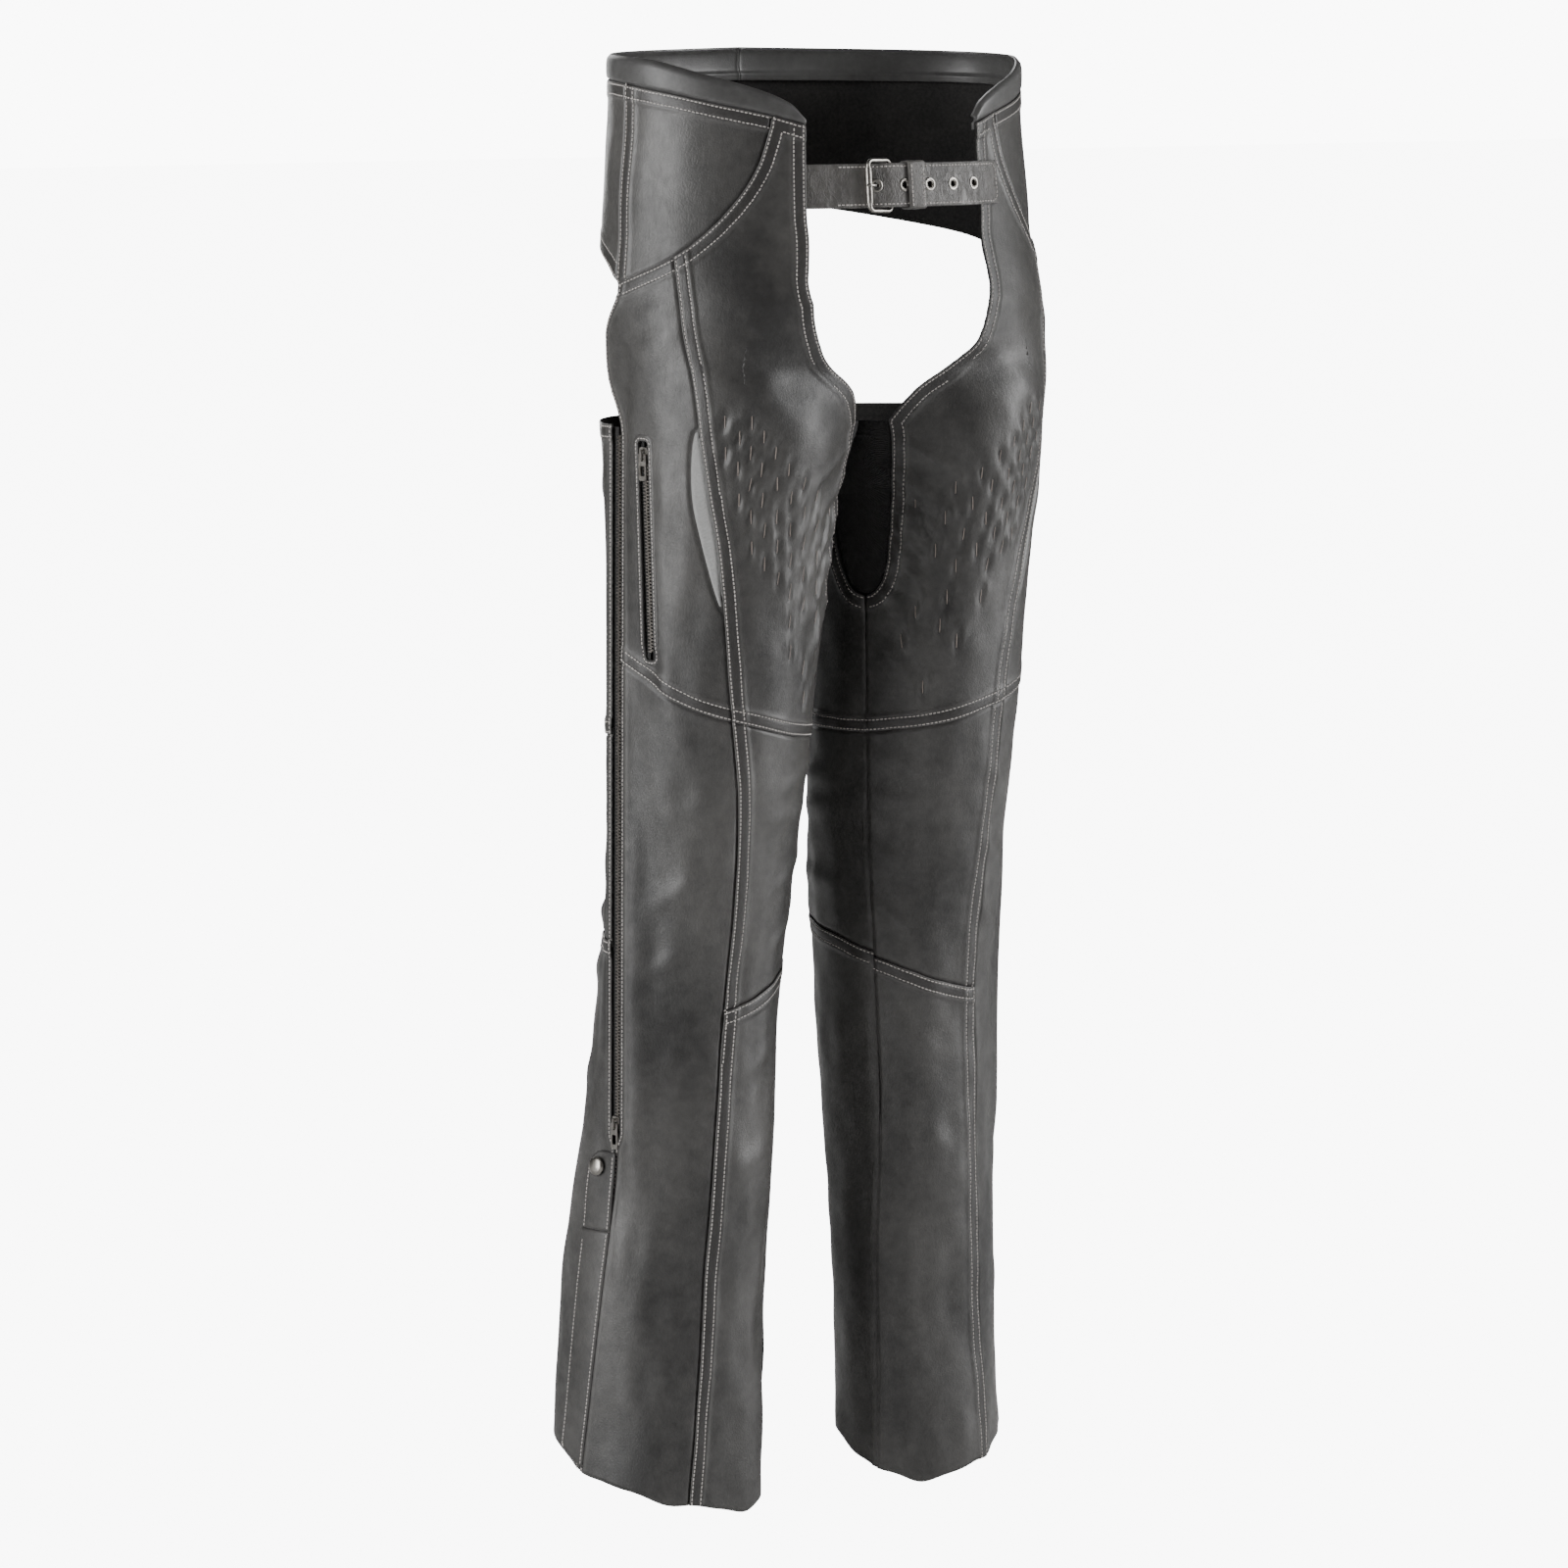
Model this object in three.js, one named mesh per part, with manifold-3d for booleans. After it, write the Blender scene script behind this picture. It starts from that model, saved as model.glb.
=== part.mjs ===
// Women's leather riding chaps: two zipped legs hung from a waistband with a buckled front strap.
// Millimetres, +Z up. The wearer faces -Y, so the wearer's right leg lies at -X.
// The origin is the middle of the waist ring at the height of the strap.
import * as THREE from 'three';
import { mergeVertices } from 'three/addons/utils/BufferGeometryUtils.js';
import Module from 'manifold-3d';

const wasm = await Module();
wasm.setup();

// ---------------------------------------------------------------- driving sizes

const leather = 1.4;         // garment leather
const lap = 0.3;             // every sewn edge keeps this from its seam line
const rest = 0.35;           // gap between pieces that lie on each other

const waistHalfWidth = 169;
const waistHalfDepth = 111;
const thighHalf = 80;        // half the width of a leg below the crotch
const kneeHalf = 72;
const hemHalf = 72;
const legSpread = 90;        // from the middle of the body to the middle of the thigh
const frontOpening = 26;     // degrees from the front to the edge of each front panel
const thighClear = 3;        // each inner thigh keeps this from the middle of the body

const crotchDrop = 175;      // strap height down to the top of the inner thigh gusset
const gussetLength = 133;
const kneeTopDrop = 400;     // the seam above the knee, at the front
const kneeHeight = 205;
const hemDrop = 968;         // the mean height of the raw hem
const hemSlope = 28;         // the hem dips at the instep and climbs at the heel

const zipGap = 5.5;          // half the opening that shows the side zip
const tapeWidth = 16;
const tapeThick = 0.6;
const chainWidth = 5.6;
const chainThick = 2.2;
const sliderLength = 10.5;
const sliderWidth = 8.6;
const plate = 1.2;           // slider plates
const running = 0.3;         // slack of everything that slides or turns
const zipTopDrop = 182;
const zipLength = 522;
const pullLength = 20;
const pullWidth = 7.5;

const pocketDrop = 188;      // strap height down to the top of the thigh pocket's zip
const pocketLength = 156;
const pocketSlot = 6.7;      // half the width of the slot in the leather

const flapWidth = 25;
const tabLength = 60;
const snapRadius = 7.2;
const studRadius = 2.5;

const strapWidth = 32;
const strapThick = 3;
const strapTip = 97;         // strap length past the middle of the body
const strapRoot = 112;       // strap length on the other side, sewn under the front panel
const holePitch = 22.5;
const holeCount = 5;
const holeRadius = 2.5;
const eyeletRadius = 5;
const eyeletWall = 0.6;
const wireRadius = 1.6;      // buckle wire
const rollerRadius = 2.5;
const heelAt = -8;           // the buckle's two bars, along the strap
const rollerAt = -29.5;
const frameHeight = 40;
const backStrapWidth = 26;   // the short strap that holds the buckle
const backStrapThick = 2.6;
const backStrapEnd = 118;
const keeperLength = 15;
const keeperAt = 10;

// ---------------------------------------------------------------- small tools

const radians = THREE.MathUtils.degToRad;
const mix = THREE.MathUtils.lerp;
const smooth = THREE.MathUtils.smoothstep;
const parts = new THREE.Group();

// A smooth curve through [x, y] points that never overshoots them.
function curve(points) {
  const p = [...points].sort((a, b) => a[0] - b[0]);
  const slope = p.slice(1).map((q, i) => (q[1] - p[i][1]) / (q[0] - p[i][0]));
  const tangent = p.map((_, i) => {
    if (i === 0) return slope[0];
    if (i === p.length - 1) return slope[i - 1];
    if (slope[i - 1] * slope[i] <= 0) return 0;
    return 2 * slope[i - 1] * slope[i] / (slope[i - 1] + slope[i]);
  });
  return x => {
    if (x <= p[0][0]) return p[0][1];
    if (x >= p.at(-1)[0]) return p.at(-1)[1];
    const i = p.findIndex((q, k) => x < p[k + 1][0]);
    const w = p[i + 1][0] - p[i][0];
    const t = (x - p[i][0]) / w;
    const s = 1 - t;
    return p[i][1] * s * s * (1 + 2 * t) + p[i + 1][1] * t * t * (3 - 2 * t)
      + w * t * s * (tangent[i] * s - tangent[i + 1] * t);
  };
}

function toSolid(geometry) {
  const bare = geometry.clone();
  bare.deleteAttribute('normal');
  bare.deleteAttribute('uv');
  const merged = mergeVertices(bare, 1e-4);
  return new wasm.Manifold(new wasm.Mesh({
    numProp: 3,
    vertProperties: new Float32Array(merged.attributes.position.array),
    triVerts: new Uint32Array(merged.index.array),
  }));
}

function toGeometry(solid) {
  const mesh = solid.getMesh();
  const geometry = new THREE.BufferGeometry();
  geometry.setAttribute('position', new THREE.BufferAttribute(mesh.vertProperties, 3));
  geometry.setIndex(new THREE.BufferAttribute(mesh.triVerts, 1));
  return geometry;
}

function join(...geometries) {
  return toGeometry(geometries.map(toSolid).reduce((a, b) => a.add(b)));
}

function cut(body, ...tools) {
  return toGeometry(tools.map(toSolid).reduce((a, b) => a.subtract(b), toSolid(body)));
}

function box(width, height, depth, x = 0, y = 0, z = 0) {
  return new THREE.BoxGeometry(width, height, depth).translate(x, y, z);
}

// A disc or post standing along z from the height `from` to the height `to`.
function post(radius, from, to, sides = 16) {
  const turned = new THREE.CylinderGeometry(radius, radius, to - from, sides).rotateX(Math.PI / 2);
  return turned.translate(0, 0, (from + to) / 2);
}

function roundedBar(width, height, radius, depth) {
  const shape = new THREE.Shape();
  const x = width / 2;
  const y = height / 2;
  shape.moveTo(-x + radius, -y);
  shape.absarc(x - radius, -y + radius, radius, -Math.PI / 2, 0);
  shape.absarc(x - radius, y - radius, radius, 0, Math.PI / 2);
  shape.absarc(-x + radius, y - radius, radius, Math.PI / 2, Math.PI);
  shape.absarc(-x + radius, -y + radius, radius, Math.PI, 1.5 * Math.PI);
  const options = { depth, bevelEnabled: false, curveSegments: 3 };
  return new THREE.ExtrudeGeometry(shape, options).translate(0, 0, -depth / 2);
}

function addMesh(name, geometry, material, frame) {
  const mesh = new THREE.Mesh(geometry, material);
  mesh.name = name;
  if (frame) mesh.applyMatrix4(frame);
  parts.add(mesh);
}

// ---------------------------------------------------------------- materials

const leatherGrey = new THREE.MeshStandardMaterial({ color: 0x5f5e5c, roughness: 0.55, metalness: 0 });
const bandGrey = new THREE.MeshStandardMaterial({ color: 0x6f6e6c, roughness: 0.45, metalness: 0 });
const stretchGrey = new THREE.MeshStandardMaterial({ color: 0x969894, roughness: 0.8, metalness: 0 });
const stretchBlack = new THREE.MeshStandardMaterial({ color: 0x1c1b1a, roughness: 0.85, metalness: 0 });
const tapeBlack = new THREE.MeshStandardMaterial({ color: 0x161616, roughness: 0.9, metalness: 0 });
const agedNickel = new THREE.MeshStandardMaterial({ color: 0xb8b4ac, roughness: 0.35, metalness: 1 });

// ---------------------------------------------------------------- the shape that a leg follows

// Rings of the body at each height: the ring's centre out and back, its half width and
// half depth, and how far its outer side leans back.
const zKnee = -(kneeTopDrop + kneeHeight * 0.6);
const zCrotch = -crotchDrop;
const zThigh = zCrotch - gussetLength;
const rings = [
  { z: 120, out: 0, back: 0, half: waistHalfWidth - 1, depth: waistHalfDepth - 3, lean: 0 },
  { z: 50, out: 0, back: 0, half: waistHalfWidth, depth: waistHalfDepth - 1, lean: 0 },
  { z: -30, out: 0, back: -2, half: waistHalfWidth + 6, depth: waistHalfDepth + 4, lean: 0 },
  { z: zCrotch + 95, out: 20, back: -5, half: waistHalfWidth - 9, depth: waistHalfDepth + 7, lean: 0 },
  { z: zCrotch + 35, out: 50, back: -9, half: 129, depth: 115, lean: 0 },
  { z: zCrotch - 15, out: legSpread - 14, back: -11, half: thighHalf + 20, depth: thighHalf + 23, lean: 0 },
  { z: zCrotch - 65, out: legSpread - 2, back: -9, half: thighHalf + 6, depth: thighHalf + 12, lean: -0.02 },
  { z: zThigh, out: legSpread - 1, back: -4, half: thighHalf, depth: thighHalf + 3, lean: -0.06 },
  { z: -kneeTopDrop - 20, out: legSpread, back: 4, half: kneeHalf + 4, depth: kneeHalf + 3, lean: -0.09 },
  { z: zKnee, out: legSpread + 3, back: 17, half: kneeHalf, depth: kneeHalf - 2, lean: -0.08 },
  { z: -kneeTopDrop - kneeHeight, out: legSpread + 7, back: 26, half: kneeHalf - 3, depth: 68, lean: 0 },
  { z: -hemDrop + 228, out: legSpread + 17, back: 32, half: hemHalf - 1, depth: 67, lean: 0.13 },
  { z: -hemDrop + 138, out: legSpread + 24, back: 36, half: hemHalf - 1, depth: 66, lean: 0.17 },
  { z: -hemDrop - 42, out: legSpread + 32, back: 37, half: hemHalf + 1, depth: 66, lean: 0.21 },
];
const ring = {};
for (const key of ['out', 'back', 'half', 'depth', 'lean']) {
  ring[key] = curve(rings.map(r => [r.z, r[key]]));
}

// The hollow of the groin: how far it lies back at each height, and the angle it starts from.
const groinDepth = curve([[zThigh, 0], [zCrotch - 65, 5], [zCrotch - 15, 16], [zCrotch + 15, 25],
  [zCrotch + 37, 24], [zCrotch + 60, 11], [zCrotch + 90, 0]]);
const groinFrom = curve([[zThigh, -50], [zCrotch - 15, -40], [zCrotch + 10, -30], [zCrotch + 35, -8],
  [zCrotch + 60, 10], [zCrotch + 90, 20]]);

// A point of the bare body at an angle from the front, counted towards the outer side.
// Below the crotch the thighs press flat against the middle of the body.
function bodyPoint(side, angle, z) {
  const turn = angle > 180 ? angle - 360 : angle;
  const inGroin = (1 - smooth(turn, groinFrom(z), groinFrom(z) + 60)) * smooth(turn, -105, -60);
  const hollow = groinDepth(z) * inGroin;
  const across = ring.half(z) * Math.sin(radians(angle)) + 0.45 * hollow;
  const along = -ring.depth(z) * Math.cos(radians(angle)) + ring.lean(z) * across + hollow;
  const x = ring.out(z) + across;
  const pressed = thighClear + 3 * Math.log1p(Math.exp((x - thighClear) / 3));
  const press = 1 - smooth(z, zCrotch, zCrotch + 70);
  return new THREE.Vector3(side * mix(x, pressed, press), ring.back(z) + along, z);
}

function makeNormal(point) {
  return (angle, z) => {
    const around = point(angle + 0.5, z).sub(point(angle - 0.5, z));
    const up = point(angle, z + 1).sub(point(angle, z - 1));
    const normal = around.cross(up).normalize();
    const middle = point(angle + 180, z);
    return normal.dot(point(angle, z).sub(middle)) < 0 ? normal.negate() : normal;
  };
}

// A zip is straight, so the leather is drawn flat to it along its length.
function makeZip(point, topAngle, topZ, bottomAngle, bottomZ, sink, reach) {
  const normal = makeNormal(point);
  const top = point(topAngle, topZ).addScaledVector(normal(topAngle, topZ), -sink);
  const bottom = point(bottomAngle, bottomZ);
  const up = top.clone().sub(bottom).normalize();
  const middleZ = (topZ + bottomZ) / 2;
  const out = normal((topAngle + bottomAngle) / 2, middleZ);
  out.addScaledVector(up, -out.dot(up)).normalize();
  const wide = up.clone().cross(out);
  const at = z => bottom.clone().lerp(top, (z - bottom.z) / (top.z - bottom.z));
  const fade = z => smooth(z, bottom.z - 60, bottom.z - 4) * (1 - smooth(z, top.z + 4, top.z + 60));
  const drawn = (angle, z) => {
    const p = point(angle, z);
    const from = p.clone().sub(at(z));
    const pull = Math.exp(-((from.dot(wide) / reach) ** 4)) * fade(z);
    return from.length() > 4 * reach ? p : p.addScaledVector(out, -from.dot(out) * pull);
  };
  const frame = distance => new THREE.Matrix4().makeBasis(wide, up, out)
    .setPosition(top.clone().addScaledVector(up, -distance));
  return { top, bottom, up, out, wide, at, drawn, frame, length: top.distanceTo(bottom) };
}

// The angle whose point lies nearest to the straight zip at one height.
function angleOf(zip, point, z, low, high) {
  const offset = angle => point(angle, z).sub(zip.at(z)).dot(zip.wide);
  const rising = offset(high) > offset(low);
  let a = low;
  let b = high;
  for (let i = 0; i < 40; i += 1) {
    const middle = (a + b) / 2;
    if (offset(middle) > 0 === rising) b = middle;
    else a = middle;
  }
  return (a + b) / 2;
}

// ---------------------------------------------------------------- seam lines

// Lines down the leg give an angle for a height; lines round it give a height for an angle.
const zipBottom = -zipTopDrop - zipLength;
const knee = -kneeTopDrop;
const shin = knee - kneeHeight;
const hemZ = angle => -hemDrop - hemSlope * Math.cos(radians(angle + 25));
const rim = curve([[frontOpening, 49], [30, 60], [40, 71], [52, 79], [80, 92], [180, 98]]);
const bandFoot = curve([[frontOpening, 44], [35, 51], [52, 60], [70, 68], [98, 75], [180, 78]]);
const yokeSeam = curve([[35, 49], [39, 15], [45, -10], [54, -33], [65, -52], [88, -72]]);
const yokeFoot = curve([[88, -70], [96, -58], [108, -47], [130, -36], [180, -14]]);
const frontEdge = curve([[50, frontOpening], [-20, frontOpening], [-65, 24], [-92, 19], [zCrotch + 58, 10],
  [zCrotch + 22, -20], [zCrotch, -37]]);
const rearEdge = curve([[-50, 89], [-72, 89], [zCrotch + 65, 101], [zCrotch + 40, 102], [zCrotch, 97]]);
const gussetFront = curve([[zCrotch, -37], [zCrotch - gussetLength * 0.45, -48.5],
  [zThigh + 24, -51], [zThigh + 10, -54], [zThigh + 3.5, -57], [zThigh, -60.5]]);
const gussetBack = curve([[zCrotch, -92], [zCrotch - gussetLength * 0.6, -84],
  [zThigh + 24, -78], [zThigh + 10, -72], [zThigh + 3.5, -67.5], [zThigh, -63.5]]);
const inseam = curve([[zThigh, -62], [knee - 40, -57], [shin + 25, -51.5], [shin - 55, -51.5],
  [-hemDrop + 138, -61], [-hemDrop - 32, -66]]);
const princessLine = curve([[-50, 64], [zCrotch, 51], [zCrotch - 75, 38.5], [zThigh, 32],
  [knee + 25, 26], [knee - 70, 20], [shin + 35, 15], [shin - 95, 13], [-hemDrop + 118, 10],
  [-hemDrop - 32, 14]]);
const insetWidth = z => 1.6 + 7.4 * Math.sin(Math.PI * (z - zThigh) / gussetLength) ** 0.8;
const kneeTopFront = curve([[-62, knee - 13], [-20, knee - 6], [10, knee + 4], [45, knee + 17],
  [96, knee + 50]]);
const kneeTopBack = curve([[85, knee - 4], [200, knee - 12], [298, knee - 13]]);
const kneeFootFront = curve([[-62, shin + 22], [-35, shin + 11], [-10, shin - 1], [20, shin - 9],
  [96, shin - 5]]);
const kneeFootBack = curve([[70, shin + 45], [200, shin + 43], [270, shin + 35], [309, shin + 22]]);

const bandAngles = [frontOpening, 31, 35.4, 40, 46, 52, 58, 64, 68, 72, 76, 80, 84, 88,
  103, 118, 133, 148, 164, 180];
const frontAngles = bandAngles.slice(0, 8);
const sideAngles = bandAngles.slice(7, 14);
const share = list => list.map(v => (v - list[0]) / (list.at(-1) - list[0]));
const even = count => Array.from({ length: count + 1 }, (_, i) => i / count);
const frontColumns = share(frontAngles);
const sideColumns = share(sideAngles);
const backColumns = [0, 0.05, 0.1, 0.16, 0.23, 0.31, 0.4, 0.5, 0.6, 0.7, 0.8, 0.9, 1];
const gussetRows = [0, 0.07, 0.2, 0.42, 0.66, 0.86, 1];

// ---------------------------------------------------------------- sheets

// A closed solid between two grids of points with the same rows and columns.
function shell(outer, inner) {
  const rows = outer.length;
  const columns = outer[0].length;
  const points = [...outer.flat(), ...inner.flat()];
  const at = (layer, row, column) => layer * rows * columns + row * columns + column;
  const index = [];
  const quad = (a, b, c, d) => index.push(a, b, c, a, c, d);
  for (let r = 0; r < rows - 1; r += 1) {
    for (let c = 0; c < columns - 1; c += 1) {
      quad(at(0, r, c), at(0, r, c + 1), at(0, r + 1, c + 1), at(0, r + 1, c));
      quad(at(1, r, c), at(1, r + 1, c), at(1, r + 1, c + 1), at(1, r, c + 1));
    }
  }
  for (let c = 0; c < columns - 1; c += 1) {
    quad(at(0, 0, c), at(1, 0, c), at(1, 0, c + 1), at(0, 0, c + 1));
    quad(at(0, rows - 1, c), at(0, rows - 1, c + 1), at(1, rows - 1, c + 1), at(1, rows - 1, c));
  }
  for (let r = 0; r < rows - 1; r += 1) {
    quad(at(0, r, 0), at(0, r + 1, 0), at(1, r + 1, 0), at(1, r, 0));
    quad(at(0, r, columns - 1), at(1, r, columns - 1), at(1, r + 1, columns - 1), at(0, r + 1, columns - 1));
  }
  let volume = 0;
  for (let i = 0; i < index.length; i += 3) {
    const [a, b, c] = [points[index[i]], points[index[i + 1]], points[index[i + 2]]];
    volume += a.dot(b.clone().cross(c));
  }
  if (volume < 0) {
    for (let i = 0; i < index.length; i += 3) {
      [index[i + 1], index[i + 2]] = [index[i + 2], index[i + 1]];
    }
  }
  const geometry = new THREE.BufferGeometry().setFromPoints(points);
  geometry.setIndex(index);
  return geometry;
}

// One cut of leather between two lines down the leg. `bands` lists, from the bottom up, the
// lines round the leg that it spans with the rows in each. `edge` is the allowance in
// millimetres at the left, right, bottom and top, and `from` and `to` the lift of its faces.
function sheet(leg, { left, right, bands, columns, edge = {}, from = -leather, to = 0 }) {
  const allow = (key, z) => {
    const value = edge[key] ?? lap;
    return typeof value === 'function' ? value(z) : value;
  };
  const rows = bands.flatMap((band, b) => band.rows.slice(b ? 1 : 0).map(share => ({ band, share })));
  const cells = rows.map(({ band, share }, r) => columns.map((s, c) => {
    let z = mix(band.bottom(45), band.top(45), share);
    let angle = mix(left(z), right(z), s);
    for (let i = 0; i < 60; i += 1) {
      angle = (angle + mix(left(z), right(z), s)) / 2;
      z = mix(band.bottom(angle), band.top(angle), share);
    }
    const perDegree = leg.point(angle + 0.5, z).distanceTo(leg.point(angle - 0.5, z));
    if (c === 0) angle += allow('left', z) / perDegree;
    if (c === columns.length - 1) angle -= allow('right', z) / perDegree;
    if (r === 0) z += allow('bottom', z);
    if (r === rows.length - 1) z -= allow('top', z);
    return { angle, z };
  }));
  const lifted = lift => cells.map(row => row.map(({ angle, z }) =>
    leg.point(angle, z).addScaledVector(leg.normal(angle, z), lift)));
  return shell(lifted(to), lifted(from));
}

// ---------------------------------------------------------------- legs

function makeLeg(name, side, turn) {
  const bare = (angle, z) => bodyPoint(side, angle, z);
  const zip = makeZip(bare, 97, -zipTopDrop, 69, zipBottom, 2, 22);
  const leg = { name, side, zip, point: zip.drawn };
  if (side < 0) {
    leg.pocket = makeZip(zip.drawn, 77, -pocketDrop, 74.5, -pocketDrop - pocketLength, 0, 18);
    leg.point = leg.pocket.drawn;
  }
  leg.normal = makeNormal(leg.point);
  const lowSeam = curve([[zipBottom, angleOf(zip, leg.point, zipBottom, 40, 130)],
    [zipBottom - 80, 67], [-hemDrop + 90, 71], [-hemDrop - 30, 80]]);
  leg.zipAngle = z => (z >= zipBottom ? angleOf(zip, leg.point, z, 40, 130) : lowSeam(z));
  leg.princess = z => princessLine(z) + turn * (1 - smooth(z, knee - 90, knee + 50));
  return leg;
}

const level = z => () => z;
const openBand = top => ({ bottom: level(zCrotch), top, rows: even(4) });
const thighBand = { bottom: level(zThigh), top: level(zCrotch), rows: gussetRows };
const lowerBand = { bottom: kneeTopFront, top: level(zThigh), rows: even(3) };
const kneeBand = { bottom: kneeFootFront, top: kneeTopFront, rows: even(4) };
const shinRows = even(Math.ceil((hemDrop + shin) / 52));
const shinBand = { bottom: hemZ, top: kneeFootFront, rows: shinRows };
const lowerBandBack = { bottom: kneeTopBack, top: level(zThigh), rows: even(3) };
const kneeBandBack = { bottom: kneeFootBack, top: kneeTopBack, rows: even(4) };
const shinBandBack = { bottom: hemZ, top: kneeFootBack, rows: shinRows };

function addLegPanels(leg) {
  const name = part => `${part}_${leg.name}`;
  const frontInner = z => (z > zCrotch ? frontEdge(z) : z >= zThigh ? gussetFront(z) : inseam(z));
  const backInner = z => 360 + (z >= zThigh ? gussetBack(z) : inseam(z));
  const insetRear = z => leg.princess(z) + insetWidth(z);
  const sideFront = z => (z <= zCrotch && z >= zThigh ? insetRear(z) : leg.princess(z));
  const sideRear = z => (z > -zipTopDrop ? rearEdge(z) : leg.zipAngle(z));
  const zipEdge = z => mix(1, zipGap, smooth(z, zipBottom - 110, zipBottom - 25));
  const sideZipEdge = z => (z > zCrotch + 30 ? 0 : zipEdge(z));
  const overYoke = angle => (angle < 35.4 ? bandFoot(angle) : yokeSeam(angle));

  addMesh(name('hip_yoke'), sheet(leg, {
    left: level(35.4), right: level(88), columns: share(bandAngles.slice(2, 14)),
    bands: [{ bottom: yokeSeam, top: bandFoot, rows: even(2) }], edge: { bottom: 0.5 },
  }), leatherGrey);
  addMesh(name('front_thigh_panel'), sheet(leg, {
    left: frontInner, right: leg.princess, columns: frontColumns,
    bands: [lowerBand, thighBand, openBand(overYoke)], edge: { top: 0.5 },
  }), leatherGrey);
  const sidePanel = sheet(leg, {
    left: sideFront, right: sideRear, columns: sideColumns,
    bands: [lowerBand, thighBand, openBand(yokeSeam)], edge: { right: sideZipEdge },
  });
  addMesh(name('side_thigh_panel'), leg.pocket ? cutPocket(leg, sidePanel) : sidePanel, leatherGrey);
  if (leg.pocket) addPocketBag(leg, sideFront, sideRear);
  addMesh(name('stretch_inset'), sheet(leg, {
    left: leg.princess, right: insetRear, columns: even(2), bands: [thighBand],
  }), stretchGrey);
  addMesh(name('thigh_gusset'), sheet(leg, {
    left: gussetBack, right: gussetFront, columns: even(4), bands: [thighBand],
  }), stretchBlack);
  addMesh(name('knee_panel'), sheet(leg, {
    left: inseam, right: leg.princess, columns: frontColumns, bands: [kneeBand],
  }), leatherGrey);
  addMesh(name('shin_panel'), sheet(leg, {
    left: inseam, right: leg.princess, columns: frontColumns, bands: [shinBand],
  }), leatherGrey);
  addMesh(name('side_leg_panel'), sheet(leg, {
    left: leg.princess, right: leg.zipAngle, columns: sideColumns,
    bands: [shinBand, kneeBand], edge: { right: zipEdge },
  }), leatherGrey);
  const back = { left: leg.zipAngle, right: backInner, columns: backColumns, edge: { left: zipEdge } };
  addMesh(name('back_thigh_panel'), sheet(leg, { ...back, bands: [lowerBandBack, thighBand] }), leatherGrey);
  addMesh(name('back_knee_panel'), sheet(leg, { ...back, bands: [kneeBandBack] }), leatherGrey);
  addMesh(name('back_calf_panel'), sheet(leg, { ...back, bands: [shinBandBack] }), leatherGrey);
  const liningLift = -leather - 0.8;
  addMesh(name('thigh_lining'), sheet(leg, {
    left: frontInner, right: leg.princess, columns: frontColumns, bands: [lowerBand, thighBand],
    edge: { left: 5, right: 4, bottom: 5, top: 5 }, from: liningLift - 0.8, to: liningLift,
  }), stretchBlack);
}

// ---------------------------------------------------------------- zips

const chainMiddle = -(leather + 1.3);
const channel = chainThick / 2 + running;
const sliderTop = chainMiddle + channel + plate;
const bridgeHigh = 3.1;

// The slider: two plates held apart by a post at the end that parts the teeth.
function sliderBody(postEnd) {
  const upper = roundedBar(sliderWidth, sliderLength, 2, plate)
    .translate(0, 0, chainMiddle + channel + plate / 2);
  const lower = roundedBar(sliderWidth, sliderLength, 2, plate)
    .translate(0, 0, chainMiddle - channel - plate / 2);
  const wedge = box(1.6, 3, 2 * channel + plate, 0, postEnd * (sliderLength / 2 - 1.7), chainMiddle);
  const arch = join(
    box(1.8, 1.3, bridgeHigh, 0, 3.2, sliderTop + bridgeHigh / 2 - 0.2),
    box(1.8, 1.3, bridgeHigh, 0, -3.2, sliderTop + bridgeHigh / 2 - 0.2),
    box(1.8, 7.7, 1, 0, 0, sliderTop + bridgeHigh - 0.5),
  );
  return join(upper, lower, wedge, arch);
}

// The pull hangs under the arch by the bar above its upper window.
const pullLift = 1.05;

function pullBody() {
  const lift = sliderTop + pullLift;
  const blade = roundedBar(pullWidth, pullLength, 1.5, 1.2).translate(0, 0.7 - pullLength / 2, lift);
  const eye = box(2.6, 4.2, 4, 0, -2.8, lift);
  const window = roundedBar(pullWidth - 3.4, pullLength - 12.5, 1, 4).translate(0, -pullLength / 2 - 2.2, lift);
  return cut(blade, eye, window);
}

function tapeBody(length, joinAtTop) {
  const over = 8;
  const wide = tapeWidth / 2 - chainWidth / 2 - running;
  const strip = x => box(wide, length + over, tapeThick, x, -length / 2, chainMiddle);
  const x = chainWidth / 2 + running + wide / 2;
  const end = box(tapeWidth, over / 2 - running, tapeThick, 0,
    joinAtTop ? over / 4 + running / 2 : -length - over / 4 - running / 2, chainMiddle);
  return join(strip(x), strip(-x), end);
}

function addZip(leg, zip, kind, restAtTop) {
  const name = part => `${kind}_zip_${part}_${leg.name}`;
  const sliderAt = restAtTop ? sliderLength / 2 + 1.5 : zip.length - sliderLength / 2;
  const postEnd = restAtTop ? 1 : -1;
  const chainEnd = sliderAt - postEnd * (sliderLength / 2 - 3.2 - running);
  const [from, to] = restAtTop ? [chainEnd, zip.length] : [0, chainEnd];
  addMesh(name('tape'), tapeBody(zip.length, !restAtTop), tapeBlack, zip.frame(0));
  addMesh(name('teeth'), box(chainWidth, to - from, chainThick, 0, -(from + to) / 2, chainMiddle),
    agedNickel, zip.frame(0));
  addMesh(name('slider'), sliderBody(postEnd), agedNickel, zip.frame(sliderAt));
  addMesh(name('pull'), pullBody(), agedNickel, zip.frame(sliderAt));
}

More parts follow.
